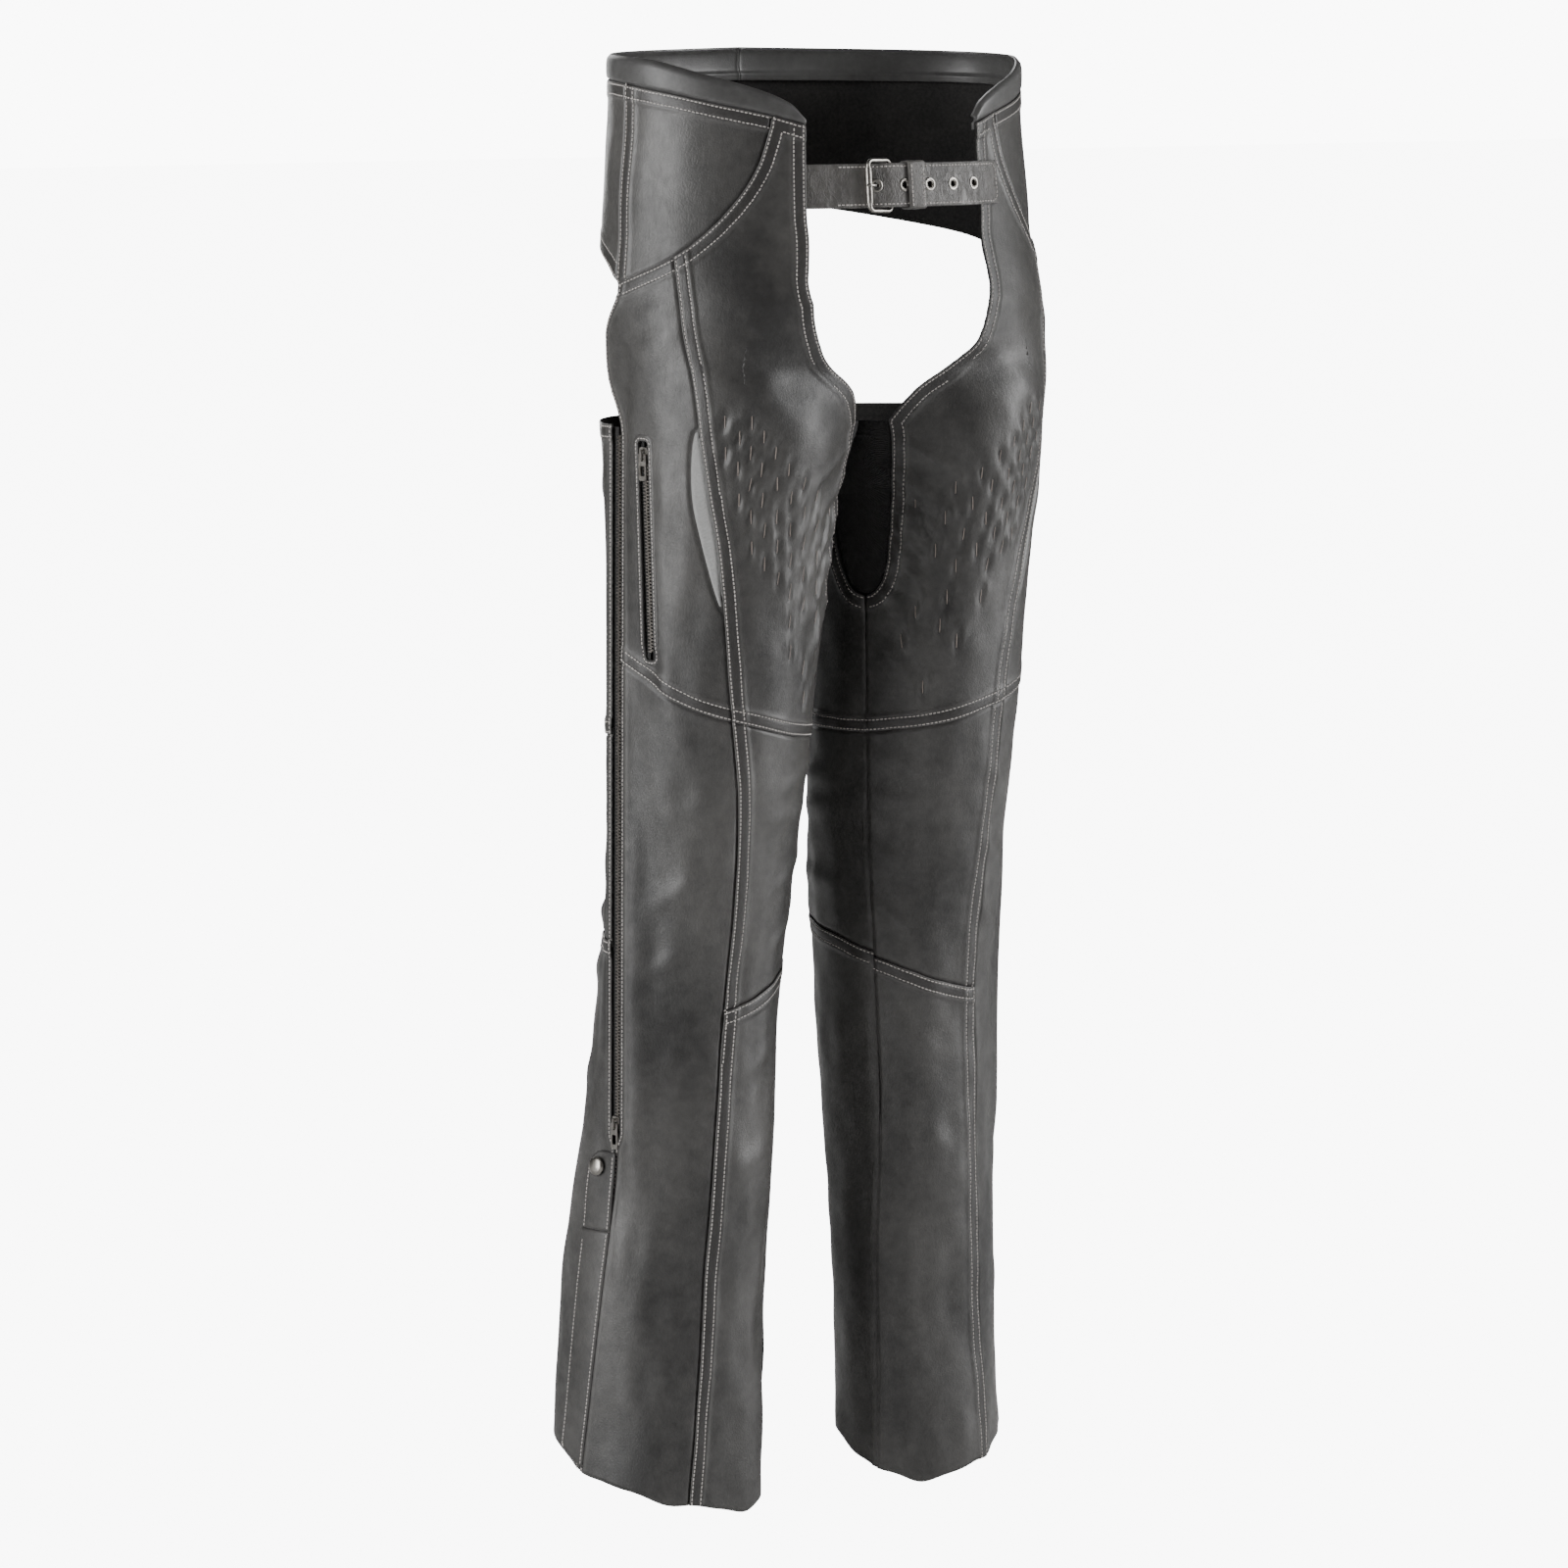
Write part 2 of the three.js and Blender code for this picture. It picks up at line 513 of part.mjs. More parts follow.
function cutPocket(leg, panel) {
  const slot = roundedBar(2 * pocketSlot, pocketLength + 12, 4, 20).translate(0, -pocketLength / 2, 0);
  return cut(panel, slot.applyMatrix4(leg.pocket.frame(0)));
}

// The pocket bag lies flat behind the leather, with room for the zip and its slider.
function addPocketBag(leg, left, right) {
  const lift = -leather - 0.8;
  const bag = sheet(leg, {
    left, right, columns: sideColumns, bands: [lowerBand, thighBand],
    edge: { left: 4, right: 12, bottom: 26, top: 3 }, from: lift - 5, to: lift,
  });
  const room = box(tapeWidth + 1.5, pocketLength + 12, 6.5, 0, -pocketLength / 2, chainMiddle);
  addMesh('pocket_bag_right', cut(bag, room.applyMatrix4(leg.pocket.frame(0))), stretchBlack);
}

// ---------------------------------------------------------------- ankle flap with its snap

const tabLift = 1.2;
const snapSeat = 0.4;

function addFlap(leg) {
  const name = part => `${part}_${leg.name}`;
  const perDegree = z => leg.point(80, z).distanceTo(leg.point(79, z));
  const rear = z => leg.zipAngle(z) + flapWidth / perDegree(z);
  const tabTop = zipBottom - pullLength + 3;
  const tabFoot = tabTop - tabLength;
  const tab = sheet(leg, {
    left: leg.zipAngle, right: rear, columns: even(3),
    bands: [{ bottom: level(tabFoot), top: level(tabTop), rows: even(3) }],
    edge: { left: 0, right: 0, bottom: 0, top: 0 }, from: tabLift, to: tabLift + leather,
  });
  const z = tabTop - 12;
  const angle = mix(leg.zipAngle(z), rear(z), 0.55);
  const out = leg.normal(angle, z);
  const up = leg.point(angle, z + 1).sub(leg.point(angle, z - 1));
  up.addScaledVector(out, -up.dot(out)).normalize();
  const frame = new THREE.Matrix4().makeBasis(up.clone().cross(out), up, out)
    .setPosition(leg.point(angle, z).addScaledVector(out, snapSeat));
  const socket = studRadius + 0.4 + 0.9;
  const hole = post(socket + 0.4, -1, 8).applyMatrix4(frame);
  addMesh(name('flap_tab'), cut(tab, hole), leatherGrey);
  addMesh(name('flap_strip'), sheet(leg, {
    left: leg.zipAngle, right: rear, columns: even(3),
    bands: [{ bottom: a => hemZ(a) + 4, top: level(tabFoot - 2), rows: even(shinRows.length - 3) }],
    edge: { left: 0, right: 0, bottom: 0, top: 0 }, from: rest, to: rest + leather,
  }), leatherGrey);
  const capFoot = tabLift + leather + 2 * running;
  const dome = new THREE.LatheGeometry([
    new THREE.Vector2(0, capFoot), new THREE.Vector2(snapRadius - 0.3, capFoot),
    new THREE.Vector2(snapRadius, capFoot + 0.4), new THREE.Vector2(snapRadius * 0.75, capFoot + 1.5),
    new THREE.Vector2(snapRadius * 0.4, capFoot + 2), new THREE.Vector2(0, capFoot + 2.1),
  ], 18).rotateX(Math.PI / 2);
  const sleeve = cut(post(socket, tabLift, capFoot + 0.2), post(studRadius + 0.4, 0, capFoot + 0.1));
  addMesh(name('snap_cap'), join(dome, sleeve), agedNickel, frame);
  const stud = join(post(studRadius + 2, rest, rest + 0.35), post(studRadius, rest, capFoot - 0.4));
  addMesh(name('snap_stud'), stud, agedNickel, frame);
}

// ---------------------------------------------------------------- waist

function addWaist(leg) {
  addMesh(`waistband_${leg.name}`, sheet(leg, {
    left: level(frontOpening), right: level(180), columns: share(bandAngles),
    bands: [{ bottom: bandFoot, top: rim, rows: even(1) }], from: -leather - 1, to: 1,
  }), bandGrey);
  addMesh(`back_yoke_${leg.name}`, sheet(leg, {
    left: level(88), right: level(180), columns: share(bandAngles.slice(13)),
    bands: [{ bottom: yokeFoot, top: bandFoot, rows: even(3) }],
  }), leatherGrey);
}

// ---------------------------------------------------------------- front strap and buckle

// The strap follows the front of the waist: `s` runs along it from the middle of the body
// towards the wearer's left, `lift` is out from the face of the leather.
function makeStrapLine(left) {
  const steps = 400;
  const reach = 80;
  const lengths = [0];
  for (let i = 1; i <= steps; i += 1) {
    const a = left.point(reach * (i - 1) / steps, 0);
    lengths.push(lengths[i - 1] + a.distanceTo(left.point(reach * i / steps, 0)));
  }
  const angleAt = curve(lengths.map((length, i) => [length, reach * i / steps])
    .filter((_, i) => i % 10 === 0));
  return (s, lift, z) => {
    const angle = angleAt(Math.abs(s));
    const p = left.point(angle, z).addScaledVector(left.normal(angle, z), lift);
    return s < 0 ? p.setX(-p.x) : p;
  };
}

// Bends a solid drawn flat, with x along the strap, y up and z out, round the waist.
function bend(geometry, line, liftAt) {
  const position = geometry.attributes.position;
  for (let i = 0; i < position.count; i += 1) {
    const s = position.getX(i);
    const p = line(s, liftAt(s) + position.getZ(i), position.getY(i));
    position.setXYZ(i, p.x, p.y, p.z);
  }
  return geometry;
}

const tuck = -leather - rest;
const strapLift = curve([[-strapRoot, tuck - strapThick], [-80, tuck - strapThick], [-52, -4.1],
  [rollerAt, -2.7], [heelAt, 0.9], [20, 0.9], [70, rest + 0.1]]);
const backStrapLift = tuck - backStrapThick;
const heelLift = backStrapLift + backStrapThick / 2;

function addStrap(line) {
  const length = strapRoot + strapTip;
  const flat = new THREE.BoxGeometry(length, strapWidth, strapThick, 26, 2, 1)
    .translate((strapTip - strapRoot) / 2, 0, strapThick / 2);
  const clear = holeRadius + eyeletWall + running + strapThick * 0.05;
  const holes = even(holeCount - 1).map(t =>
    post(clear, -1, strapThick + 1, 12).translate((t * (holeCount - 1) - 1) * holePitch, 0, 0));
  const corners = [1, -1].map(up => box(8, 8, 8).rotateZ(Math.PI / 4)
    .translate(strapTip + 1, up * (strapWidth / 2 + 1), 0));
  addMesh('belt_strap', bend(cut(flat, ...holes, ...corners), line, strapLift), leatherGrey);
}

// A frame on the strap line: x along the strap, y up, z out.
function strapFrame(line, s, lift) {
  const out = line(s, 1, 0).sub(line(s, 0, 0)).normalize();
  const up = line(s, 0, 5).sub(line(s, 0, -5));
  up.addScaledVector(out, -up.dot(out)).normalize();
  return new THREE.Matrix4().makeBasis(up.clone().cross(out), up, out).setPosition(line(s, lift, 0));
}

function addEyelets(line) {
  const seat = strapThick / 2 + running;
  const face = seat + 0.5;
  const barrel = holeRadius + eyeletWall;
  const profile = [[holeRadius, -face], [eyeletRadius, -face], [eyeletRadius, -seat], [barrel, -seat],
    [barrel, seat], [eyeletRadius, seat], [eyeletRadius, face], [holeRadius, face], [holeRadius, -face]];
  for (let i = 0; i < holeCount; i += 1) {
    const s = (i - 1) * holePitch;
    const tilt = Math.atan((strapLift(s + 3) - strapLift(s - 3)) / 6);
    const turned = new THREE.LatheGeometry(profile.map(([x, h]) => new THREE.Vector2(x, h)), 10)
      .rotateX(Math.PI / 2).rotateY(-tilt);
    addMesh(`belt_eyelet_${i + 1}`, turned, agedNickel, strapFrame(line, s, strapLift(s) + strapThick / 2));
  }
}

// The short strap folds round the buckle's heel bar and is slit for the prong.
function addBackStrap(line) {
  const inner = wireRadius + running;
  const outer = inner + backStrapThick / 2;
  const length = backStrapEnd - heelAt;
  const fold = new THREE.CylinderGeometry(outer, outer, backStrapWidth, 16);
  const run = new THREE.BoxGeometry(length, backStrapWidth, backStrapThick, 16, 2, 1)
    .translate(length / 2, 0, 0);
  const bore = new THREE.CylinderGeometry(inner, inner, backStrapWidth + 2, 12);
  const slit = box(12, 3.6, 12, -1.5, 0, 0);
  const flat = cut(join(fold, run), bore, slit).translate(heelAt, 0, 0);
  addMesh('buckle_strap', bend(flat, line, () => heelLift), leatherGrey);
}

// A closed loop of round wire through points in one plane.
function wireLoop(points, facing, radius, sides) {
  const positions = [];
  const index = [];
  const count = points.length;
  points.forEach((p, i) => {
    const along = points[(i + 1) % count].clone().sub(points[(i + count - 1) % count]).normalize();
    const across = along.clone().cross(facing);
    for (let j = 0; j < sides; j += 1) {
      const a = 2 * Math.PI * j / sides;
      positions.push(p.clone().addScaledVector(across, radius * Math.cos(a))
        .addScaledVector(facing, radius * Math.sin(a)));
      const [k, l] = [(i + 1) % count, (j + 1) % sides];
      index.push(i * sides + j, k * sides + j, k * sides + l);
      index.push(i * sides + j, k * sides + l, i * sides + l);
    }
  });
  const geometry = new THREE.BufferGeometry().setFromPoints(positions);
  geometry.setIndex(index);
  return geometry;
}

function addBuckle(line) {
  const rollerLift = strapLift(rollerAt) + strapThick + running + rollerRadius;
  const heel = line(heelAt, heelLift, 0);
  const outer = line(rollerAt, rollerLift, 0);
  const up = line(heelAt, 0, 5).sub(line(heelAt, 0, -5)).normalize();
  const across = outer.clone().sub(heel);
  across.addScaledVector(up, -across.dot(up));
  const width = across.length();
  across.normalize();
  const frame = new THREE.Matrix4().makeBasis(across, up, across.clone().cross(up)).setPosition(heel);

  const high = frameHeight / 2 - wireRadius;
  const bendRadius = 4;
  const arc = (x, y, start) => even(4).map(t => {
    const a = radians(start + 90 * t);
    return new THREE.Vector3(x + bendRadius * Math.cos(a), y + bendRadius * Math.sin(a), 0);
  });
  const path = [
    ...arc(width - bendRadius, -high + bendRadius, 270), ...arc(width - bendRadius, high - bendRadius, 0),
    ...arc(bendRadius, high - bendRadius, 90), ...arc(bendRadius, -high + bendRadius, 180),
  ];
  addMesh('buckle_frame', wireLoop(path, new THREE.Vector3(0, 0, 1), wireRadius, 8), agedNickel, frame);

  const sleeve = new THREE.LatheGeometry([
    [wireRadius + running, -13], [rollerRadius, -13], [rollerRadius, 13], [wireRadius + running, 13],
    [wireRadius + running, -13],
  ].map(([x, y]) => new THREE.Vector2(x, y)), 16).translate(width, 0, 0);
  addMesh('buckle_roller', sleeve, agedNickel, frame);

  const eye = new THREE.LatheGeometry([
    [wireRadius + running, -1.2], [wireRadius + running + 1.1, -1.2], [wireRadius + running + 1.1, 1.2],
    [wireRadius + running, 1.2], [wireRadius + running, -1.2],
  ].map(([x, y]) => new THREE.Vector2(x, y)), 16).applyMatrix4(frame);
  const prongRadius = 0.9;
  const hole = -holePitch;
  const holeLift = strapLift(hole) + strapThick / 2;
  const over = rollerLift + rollerRadius + running + prongRadius;
  const route = new THREE.CatmullRomCurve3([
    line(heelAt - 2.4, heelLift - 0.5, 0), line(heelAt - 7, heelLift - 0.6, 0),
    line(hole + 2, holeLift - 2.7, 0), line(hole - 0.7, holeLift + 0.2, 0),
    line(hole - 2.6, over - 1.9, 0), line(rollerAt - 0.6, over + 0.2, 0), line(rollerAt - 3.2, over + 0.1, 0),
  ]);
  const section = new THREE.Shape();
  section.absarc(0, 0, prongRadius, 0, 2 * Math.PI);
  const rod = new THREE.ExtrudeGeometry(section, { steps: 16, curveSegments: 3, extrudePath: route });
  addMesh('buckle_prong', join(eye, rod), agedNickel);
}

function addKeeper(line) {
  const high = strapWidth / 2 + 0.4;
  const low = backStrapLift - 0.5;
  const top = strapLift(keeperAt) + strapThick + 0.9;
  const wall = 1.6;
  const outer = box(keeperLength, 2 * (high + wall), top - low + 2 * wall, 0, 0, (top + low) / 2);
  const inner = box(keeperLength + 2, 2 * high, top - low, 0, 0, (top + low) / 2);
  addMesh('belt_keeper', cut(outer, inner), leatherGrey, strapFrame(line, keeperAt, 0));
}

// ---------------------------------------------------------------- assembly

const rightLeg = makeLeg('right', -1, -6);
const leftLeg = makeLeg('left', 1, 5);
for (const leg of [rightLeg, leftLeg]) {
  addWaist(leg);
  addLegPanels(leg);
  addZip(leg, leg.zip, 'side', false);
  addFlap(leg);
}
addZip(rightLeg, rightLeg.pocket, 'pocket', true);
const strapLine = makeStrapLine(leftLeg);
addStrap(strapLine);
addEyelets(strapLine);
addBackStrap(strapLine);
addBuckle(strapLine);
addKeeper(strapLine);

export default parts;
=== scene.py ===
# Women's leather riding chaps: two zipped legs hung from a waistband with a buckled front strap.
# Metres, +Z up. The wearer faces -Y, so the wearer's right leg lies at -X.
import math
import bmesh
import bpy
import numpy as np
from mathutils import Matrix, Vector
from mathutils.bvhtree import BVHTree


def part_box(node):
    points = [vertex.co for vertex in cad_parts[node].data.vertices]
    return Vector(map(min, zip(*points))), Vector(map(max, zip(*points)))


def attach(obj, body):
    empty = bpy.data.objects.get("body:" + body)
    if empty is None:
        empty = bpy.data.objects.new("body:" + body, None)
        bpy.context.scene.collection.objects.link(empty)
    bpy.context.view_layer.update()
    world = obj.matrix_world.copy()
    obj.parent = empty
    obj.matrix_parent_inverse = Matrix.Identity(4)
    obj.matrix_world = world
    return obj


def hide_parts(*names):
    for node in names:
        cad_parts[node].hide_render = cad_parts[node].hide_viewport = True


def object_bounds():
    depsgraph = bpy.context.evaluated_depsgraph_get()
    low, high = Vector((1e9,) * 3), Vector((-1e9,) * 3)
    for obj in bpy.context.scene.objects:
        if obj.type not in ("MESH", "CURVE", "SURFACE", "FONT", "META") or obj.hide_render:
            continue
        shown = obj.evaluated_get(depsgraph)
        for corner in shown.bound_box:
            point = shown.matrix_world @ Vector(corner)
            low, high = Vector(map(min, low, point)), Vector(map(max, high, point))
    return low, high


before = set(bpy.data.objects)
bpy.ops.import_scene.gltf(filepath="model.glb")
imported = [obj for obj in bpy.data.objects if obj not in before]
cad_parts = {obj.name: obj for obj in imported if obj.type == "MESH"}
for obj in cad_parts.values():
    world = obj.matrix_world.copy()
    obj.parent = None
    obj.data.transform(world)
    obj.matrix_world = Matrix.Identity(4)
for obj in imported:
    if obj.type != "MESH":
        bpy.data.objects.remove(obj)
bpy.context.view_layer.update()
bpy.ops.object.select_all(action="DESELECT")

# ---------------------------------------------------------------- the block the legs are cut on
# The pattern block is a standing figure from the waist down. Angles go round each leg from the
# front towards the outer side, in degrees, and heights and lengths are in millimetres here.
# Every panel, seam and stitch is laid out on this block before it becomes a mesh in metres.
MM = 0.001
ZIP_TOP, ZIP_BOTTOM = -182.0, -704.0
CROTCH, THIGH, KNEE, HEM = -175.0, -308.0, -400.0, -968.0
GUSSET = CROTCH - THIGH
MM_PER_DEGREE = 1.36


def smooth_line(*points):
    """A smooth line through (x, y) points that never overshoots them."""
    x, y = np.array(sorted(points), float).T
    width = np.diff(x)
    slope = np.diff(y) / width
    before, after = slope[:-1], slope[1:]
    same_way = before * after > 0
    tangent = np.concatenate([slope[:1], np.zeros(len(x) - 2), slope[-1:]])
    tangent[1:-1][same_way] = (2 * before * after)[same_way] / (before + after)[same_way]

    def at(value):
        value = np.clip(np.asarray(value, float), x[0], x[-1])
        i = np.clip(np.searchsorted(x, value, side="right") - 1, 0, len(x) - 2)
        t = (value - x[i]) / width[i]
        s = 1 - t
        ends = y[i] * s * s * (1 + 2 * t) + y[i + 1] * t * t * (3 - 2 * t)
        return ends + width[i] * t * s * (tangent[i] * s - tangent[i + 1] * t)
    return at


def ease(value, low, high):
    t = np.clip((value - low) / (high - low), 0, 1)
    return t * t * (3 - 2 * t)


def unit(v):
    return v / np.linalg.norm(v, axis=-1, keepdims=True)


# height, ring centre out, ring centre back, half width, half depth, lean of the outer side
RINGS = np.array([
    (120, 0, 0, 168, 108, 0), (50, 0, 0, 169, 110, 0), (-30, 0, -2, 175, 115, 0),
    (-80, 20, -5, 160, 118, 0), (-140, 50, -9, 129, 115, 0), (-190, 76, -11, 100, 103, 0),
    (-240, 88, -9, 86, 92, -0.02), (-308, 89, -4, 80, 83, -0.06), (-420, 90, 4, 76, 75, -0.09),
    (-523, 93, 17, 72, 70, -0.08), (-605, 97, 26, 69, 68, 0), (-740, 107, 32, 71, 67, 0.13),
    (-830, 114, 36, 71, 66, 0.17), (-1010, 122, 37, 73, 66, 0.21)], float)
ring_out, ring_back, ring_half, ring_depth, ring_lean = (
    smooth_line(*zip(RINGS[:, 0], RINGS[:, i])) for i in range(1, 6))


# the hollow of the groin: how far back it lies at each height, and the angle it starts from
groin_depth = smooth_line((THIGH, 0), (-240, 5), (-190, 16), (-160, 25), (-138, 24), (-115, 11),
                          (-85, 0))
groin_from = smooth_line((THIGH, -50), (-190, -40), (-165, -30), (-140, -8), (-115, 10), (-85, 20))


def block_point(side, angle, z):
    """A point of the bare block. Below the crotch the thighs press flat against each other."""
    near = np.where(np.asarray(angle) > 180, np.asarray(angle) - 360, angle)
    in_groin = (1 - ease(near, groin_from(z), groin_from(z) + 60)) * ease(near, -105, -60)
    hollow = groin_depth(z) * in_groin
    turn = np.radians(angle)
    across = ring_half(z) * np.sin(turn) + 0.45 * hollow
    along = ring_lean(z) * across - ring_depth(z) * np.cos(turn) + hollow
    x = ring_out(z) + across
    pressed = 3 + 3 * np.logaddexp(0, (x - 3) / 3)
    x = x + (pressed - x) * (1 - ease(z, CROTCH, CROTCH + 70))
    return np.stack(np.broadcast_arrays(side * x, ring_back(z) + along, z), axis=-1)


def facing(point, angle, z):
    around = point(angle + 0.5, z) - point(angle - 0.5, z)
    up = point(angle, z + 1.0) - point(angle, z - 1.0)
    normal = unit(np.cross(around, up))
    inward = (normal * (point(angle, z) - point(angle + 180, z))).sum(-1, keepdims=True) < 0
    return np.where(inward, -normal, normal)


class StraightZip:
    """A zip is straight, so the leather is drawn flat to it along its length."""

    def __init__(self, point, top, bottom, sink, reach):
        self.reach = reach
        self.top = point(*top) - sink * facing(point, *top)
        self.bottom = point(*bottom)
        self.length = float(np.linalg.norm(self.top - self.bottom))
        self.up = unit(self.top - self.bottom)
        out = facing(point, (top[0] + bottom[0]) / 2, (top[1] + bottom[1]) / 2)
        self.out = unit(out - self.up * (out @ self.up))
        self.wide = np.cross(self.up, self.out)

    def line(self, z):
        share = (np.asarray(z, float) - self.bottom[2]) / (self.top[2] - self.bottom[2])
        return self.bottom + share[..., None] * (self.top - self.bottom)

    def hold(self, p, z):
        """How firmly the zip holds the leather at a point, from 0 to 1."""
        off = p - self.line(z)
        near = np.exp(-((off @ self.wide) / self.reach) ** 4)
        near = near * ease(z, self.bottom[2] - 60, self.bottom[2] - 4)
        near = near * (1 - ease(z, self.top[2] + 4, self.top[2] + 60))
        return np.where(np.linalg.norm(off, axis=-1) > 4 * self.reach, 0, near)

    def drawn(self, p, z):
        away = ((p - self.line(z)) @ self.out) * self.hold(p, z)
        return p - away[..., None] * self.out

    def matrix(self, distance):
        """The frame at a distance down from the top: x across, y up, z out. In metres."""
        at = self.top - self.up * distance
        turned = Matrix((self.wide, self.up, self.out)).transposed().to_4x4()
        return Matrix.Translation(Vector(at) * MM) @ turned


class Leg:
    def __init__(self, name, side, turn):
        self.name, self.side, self.turn, self.zips = name, side, turn, []
        self.zips.append(StraightZip(self.point, (97.0, ZIP_TOP), (69.0, ZIP_BOTTOM), 2, 22))
        if side < 0:
            self.zips.append(StraightZip(self.point, (77.0, -188.0), (74.5, -344.0), 0, 18))
        heights = np.arange(ZIP_BOTTOM, CROTCH + 3, 2.0)
        # the angle of the zip at each height is closed in on by halving
        low, high = np.full(len(heights), 40.0), np.full(len(heights), 130.0)
        for _ in range(30):
            middle = (low + high) / 2
            past = self.off_zip(middle, heights) > 0
            if self.off_zip(high, heights)[0] < self.off_zip(low, heights)[0]:
                past = ~past
            high, low = np.where(past, middle, high), np.where(past, low, middle)
        self.zip_line = (heights, middle)
        self.low_seam = smooth_line((ZIP_BOTTOM, float(middle[0])), (-784, 67), (-878, 71),
                                    (-998, 80))

    def off_zip(self, angle, z):
        return (self.point(angle, z) - self.zips[0].line(z)) @ self.zips[0].wide

    def point(self, angle, z):
        p = block_point(self.side, angle, z)
        for zip_ in self.zips:
            p = zip_.drawn(p, z)
        return p

    def normal(self, angle, z):
        return facing(self.point, angle, z)

    def per_degree(self, angle, z):
        step = self.point(angle + 0.5, z) - self.point(angle - 0.5, z)
        return np.linalg.norm(step, axis=-1)

    def zip_angle(self, z):
        return np.where(z >= ZIP_BOTTOM, np.interp(z, *self.zip_line), self.low_seam(z))

    def princess(self, z):
        line = smooth_line((-50, 64), (CROTCH, 51), (-250, 38.5), (THIGH, 32), (-375, 26),
                           (-470, 20), (-570, 15), (-700, 13), (-850, 10), (-1000, 14))
        return line(z) + self.turn * (1 - ease(z, KNEE - 90, KNEE + 50))


right_leg, left_leg = Leg("right", -1, -6), Leg("left", 1, 5)
legs = [right_leg, left_leg]

# seams that run round the body: height for each angle
rim = smooth_line((26, 49), (30, 60), (40, 71), (52, 79), (80, 92), (180, 98))
band_foot = smooth_line((26, 44), (35, 51), (52, 60), (70, 68), (98, 75), (180, 78))
yoke_seam = smooth_line((35, 49), (39, 15), (45, -10), (54, -33), (65, -52), (88, -72))
yoke_foot = smooth_line((88, -70), (96, -58), (108, -47), (130, -36), (180, -14))
knee_top_front = smooth_line((-62, -413), (-20, -406), (10, -396), (45, -383), (96, -350))
knee_top_back = smooth_line((85, -404), (200, -412), (298, -413))
knee_foot_front = smooth_line((-62, -583), (-35, -594), (-10, -606), (20, -614), (96, -610))
knee_foot_back = smooth_line((70, -560), (200, -562), (270, -570), (309, -583))
# seams that run down the leg: angle for each height
front_edge = smooth_line((50, 26), (-20, 26), (-65, 24), (-92, 19), (-117, 10), (-153, -20),
                         (CROTCH, -37))
rear_edge = smooth_line((-50, 89), (-72, 89), (-110, 101), (-135, 102), (CROTCH, 97))
gusset_front = smooth_line((CROTCH, -37), (CROTCH - 0.45 * GUSSET, -48.5), (-284, -50.8),
                           (-296, -52.8), (-303.5, -55.6), (-307, -59), (THIGH, -62))
gusset_back = smooth_line((CROTCH, -92), (CROTCH - 0.6 * GUSSET, -84), (-284, -78),
                          (-296, -73.5), (-303.5, -69.5), (-307, -65.5), (THIGH, -62.3))
inseam = smooth_line((THIGH, -62), (-440, -57), (-580, -51.5), (-660, -51.5), (-830, -61),
                     (-1000, -66))


def inset_width(z):
    return 1.6 + 7.4 * np.clip(np.sin(np.pi * (z - THIGH) / GUSSET), 0, 1) ** 0.8


def hem_line(angle):
    """The raw hem dips at the instep, climbs at the heel and wanders a little from the knife."""
    turn = np.radians(angle)
    wander = 2.6 * np.sin(3 * turn + 0.7) + 1.6 * np.sin(7 * turn + 2.2) + 0.6 * np.sin(13 * turn)
    return HEM - 28 * np.cos(turn + math.radians(25)) + wander


# ---------------------------------------------------------------- garment leather
# Soft grey cowhide about 1.4 mm thick, rubbed so that the dye is cloudy, with a painted highlight
# on seam ridges and painted shade down in the seams. The inside is the brushed flesh side, nearly
# black.
LEATHER = 1.4


def node_group(name, inputs, outputs):
    group = bpy.data.node_groups.new(name, "ShaderNodeTree")
    for socket, kind, value in inputs:
        made = group.interface.new_socket(socket, in_out="INPUT", socket_type=kind)
        made.default_value = value
    for socket, kind in outputs:
        group.interface.new_socket(socket, in_out="OUTPUT", socket_type=kind)
    return group, group.nodes.new("NodeGroupInput"), group.nodes.new("NodeGroupOutput")


def add_node(tree, kind, values=(), **settings):
    made = tree.nodes.new("ShaderNode" + kind)
    for key, value in settings.items():
        setattr(made, key, value)
    for socket, value in dict(values).items():
        if isinstance(value, bpy.types.NodeSocket):
            tree.links.new(value, made.inputs[socket])
        else:
            made.inputs[socket].default_value = value
    return made


def sum_of(tree, operation, a, b, clamp=False):
    return add_node(tree, "Math", {0: a, 1: b}, operation=operation, use_clamp=clamp).outputs[0]


def texture(tree, kind, scale, where, **more):
    values = {"Scale": scale, "Vector": where}
    values.update({k: v for k, v in more.items() if k[0].isupper()})
    settings = {k: v for k, v in more.items() if not k[0].isupper()}
    return add_node(tree, kind, values, **settings)


# hide grain: fine pebbles with short creases between them
hide_grain, taken, given = node_group(
    "hide_grain", [("Vector", "NodeSocketVector", (0, 0, 0)), ("Pebble", "NodeSocketFloat", 0.5),
                   ("Crease", "NodeSocketFloat", 0.5)],
    [("Height", "NodeSocketFloat"), ("Tone", "NodeSocketFloat")])
pebbles = texture(hide_grain, "TexVoronoi", 720, taken.outputs["Vector"], feature="F1")
fine = texture(hide_grain, "TexNoise", 900, taken.outputs["Vector"], Detail=3.0)
stretched = add_node(hide_grain, "Mapping", {"Vector": taken.outputs["Vector"],
                                             "Scale": (1.0, 1.0, 0.45)})
creases = texture(hide_grain, "TexNoise", 210, stretched.outputs[0], Detail=5.0, Roughness=0.62,
                  Distortion=0.9)
folded = sum_of(hide_grain, "ABSOLUTE", sum_of(hide_grain, "SUBTRACT", creases.outputs[0], 0.5), 0)
line_depth = sum_of(hide_grain, "MULTIPLY", sum_of(hide_grain, "MINIMUM", folded, 0.09),
                    taken.outputs["Crease"])
pebble_height = sum_of(hide_grain, "MULTIPLY", pebbles.outputs["Distance"],
                       taken.outputs["Pebble"])
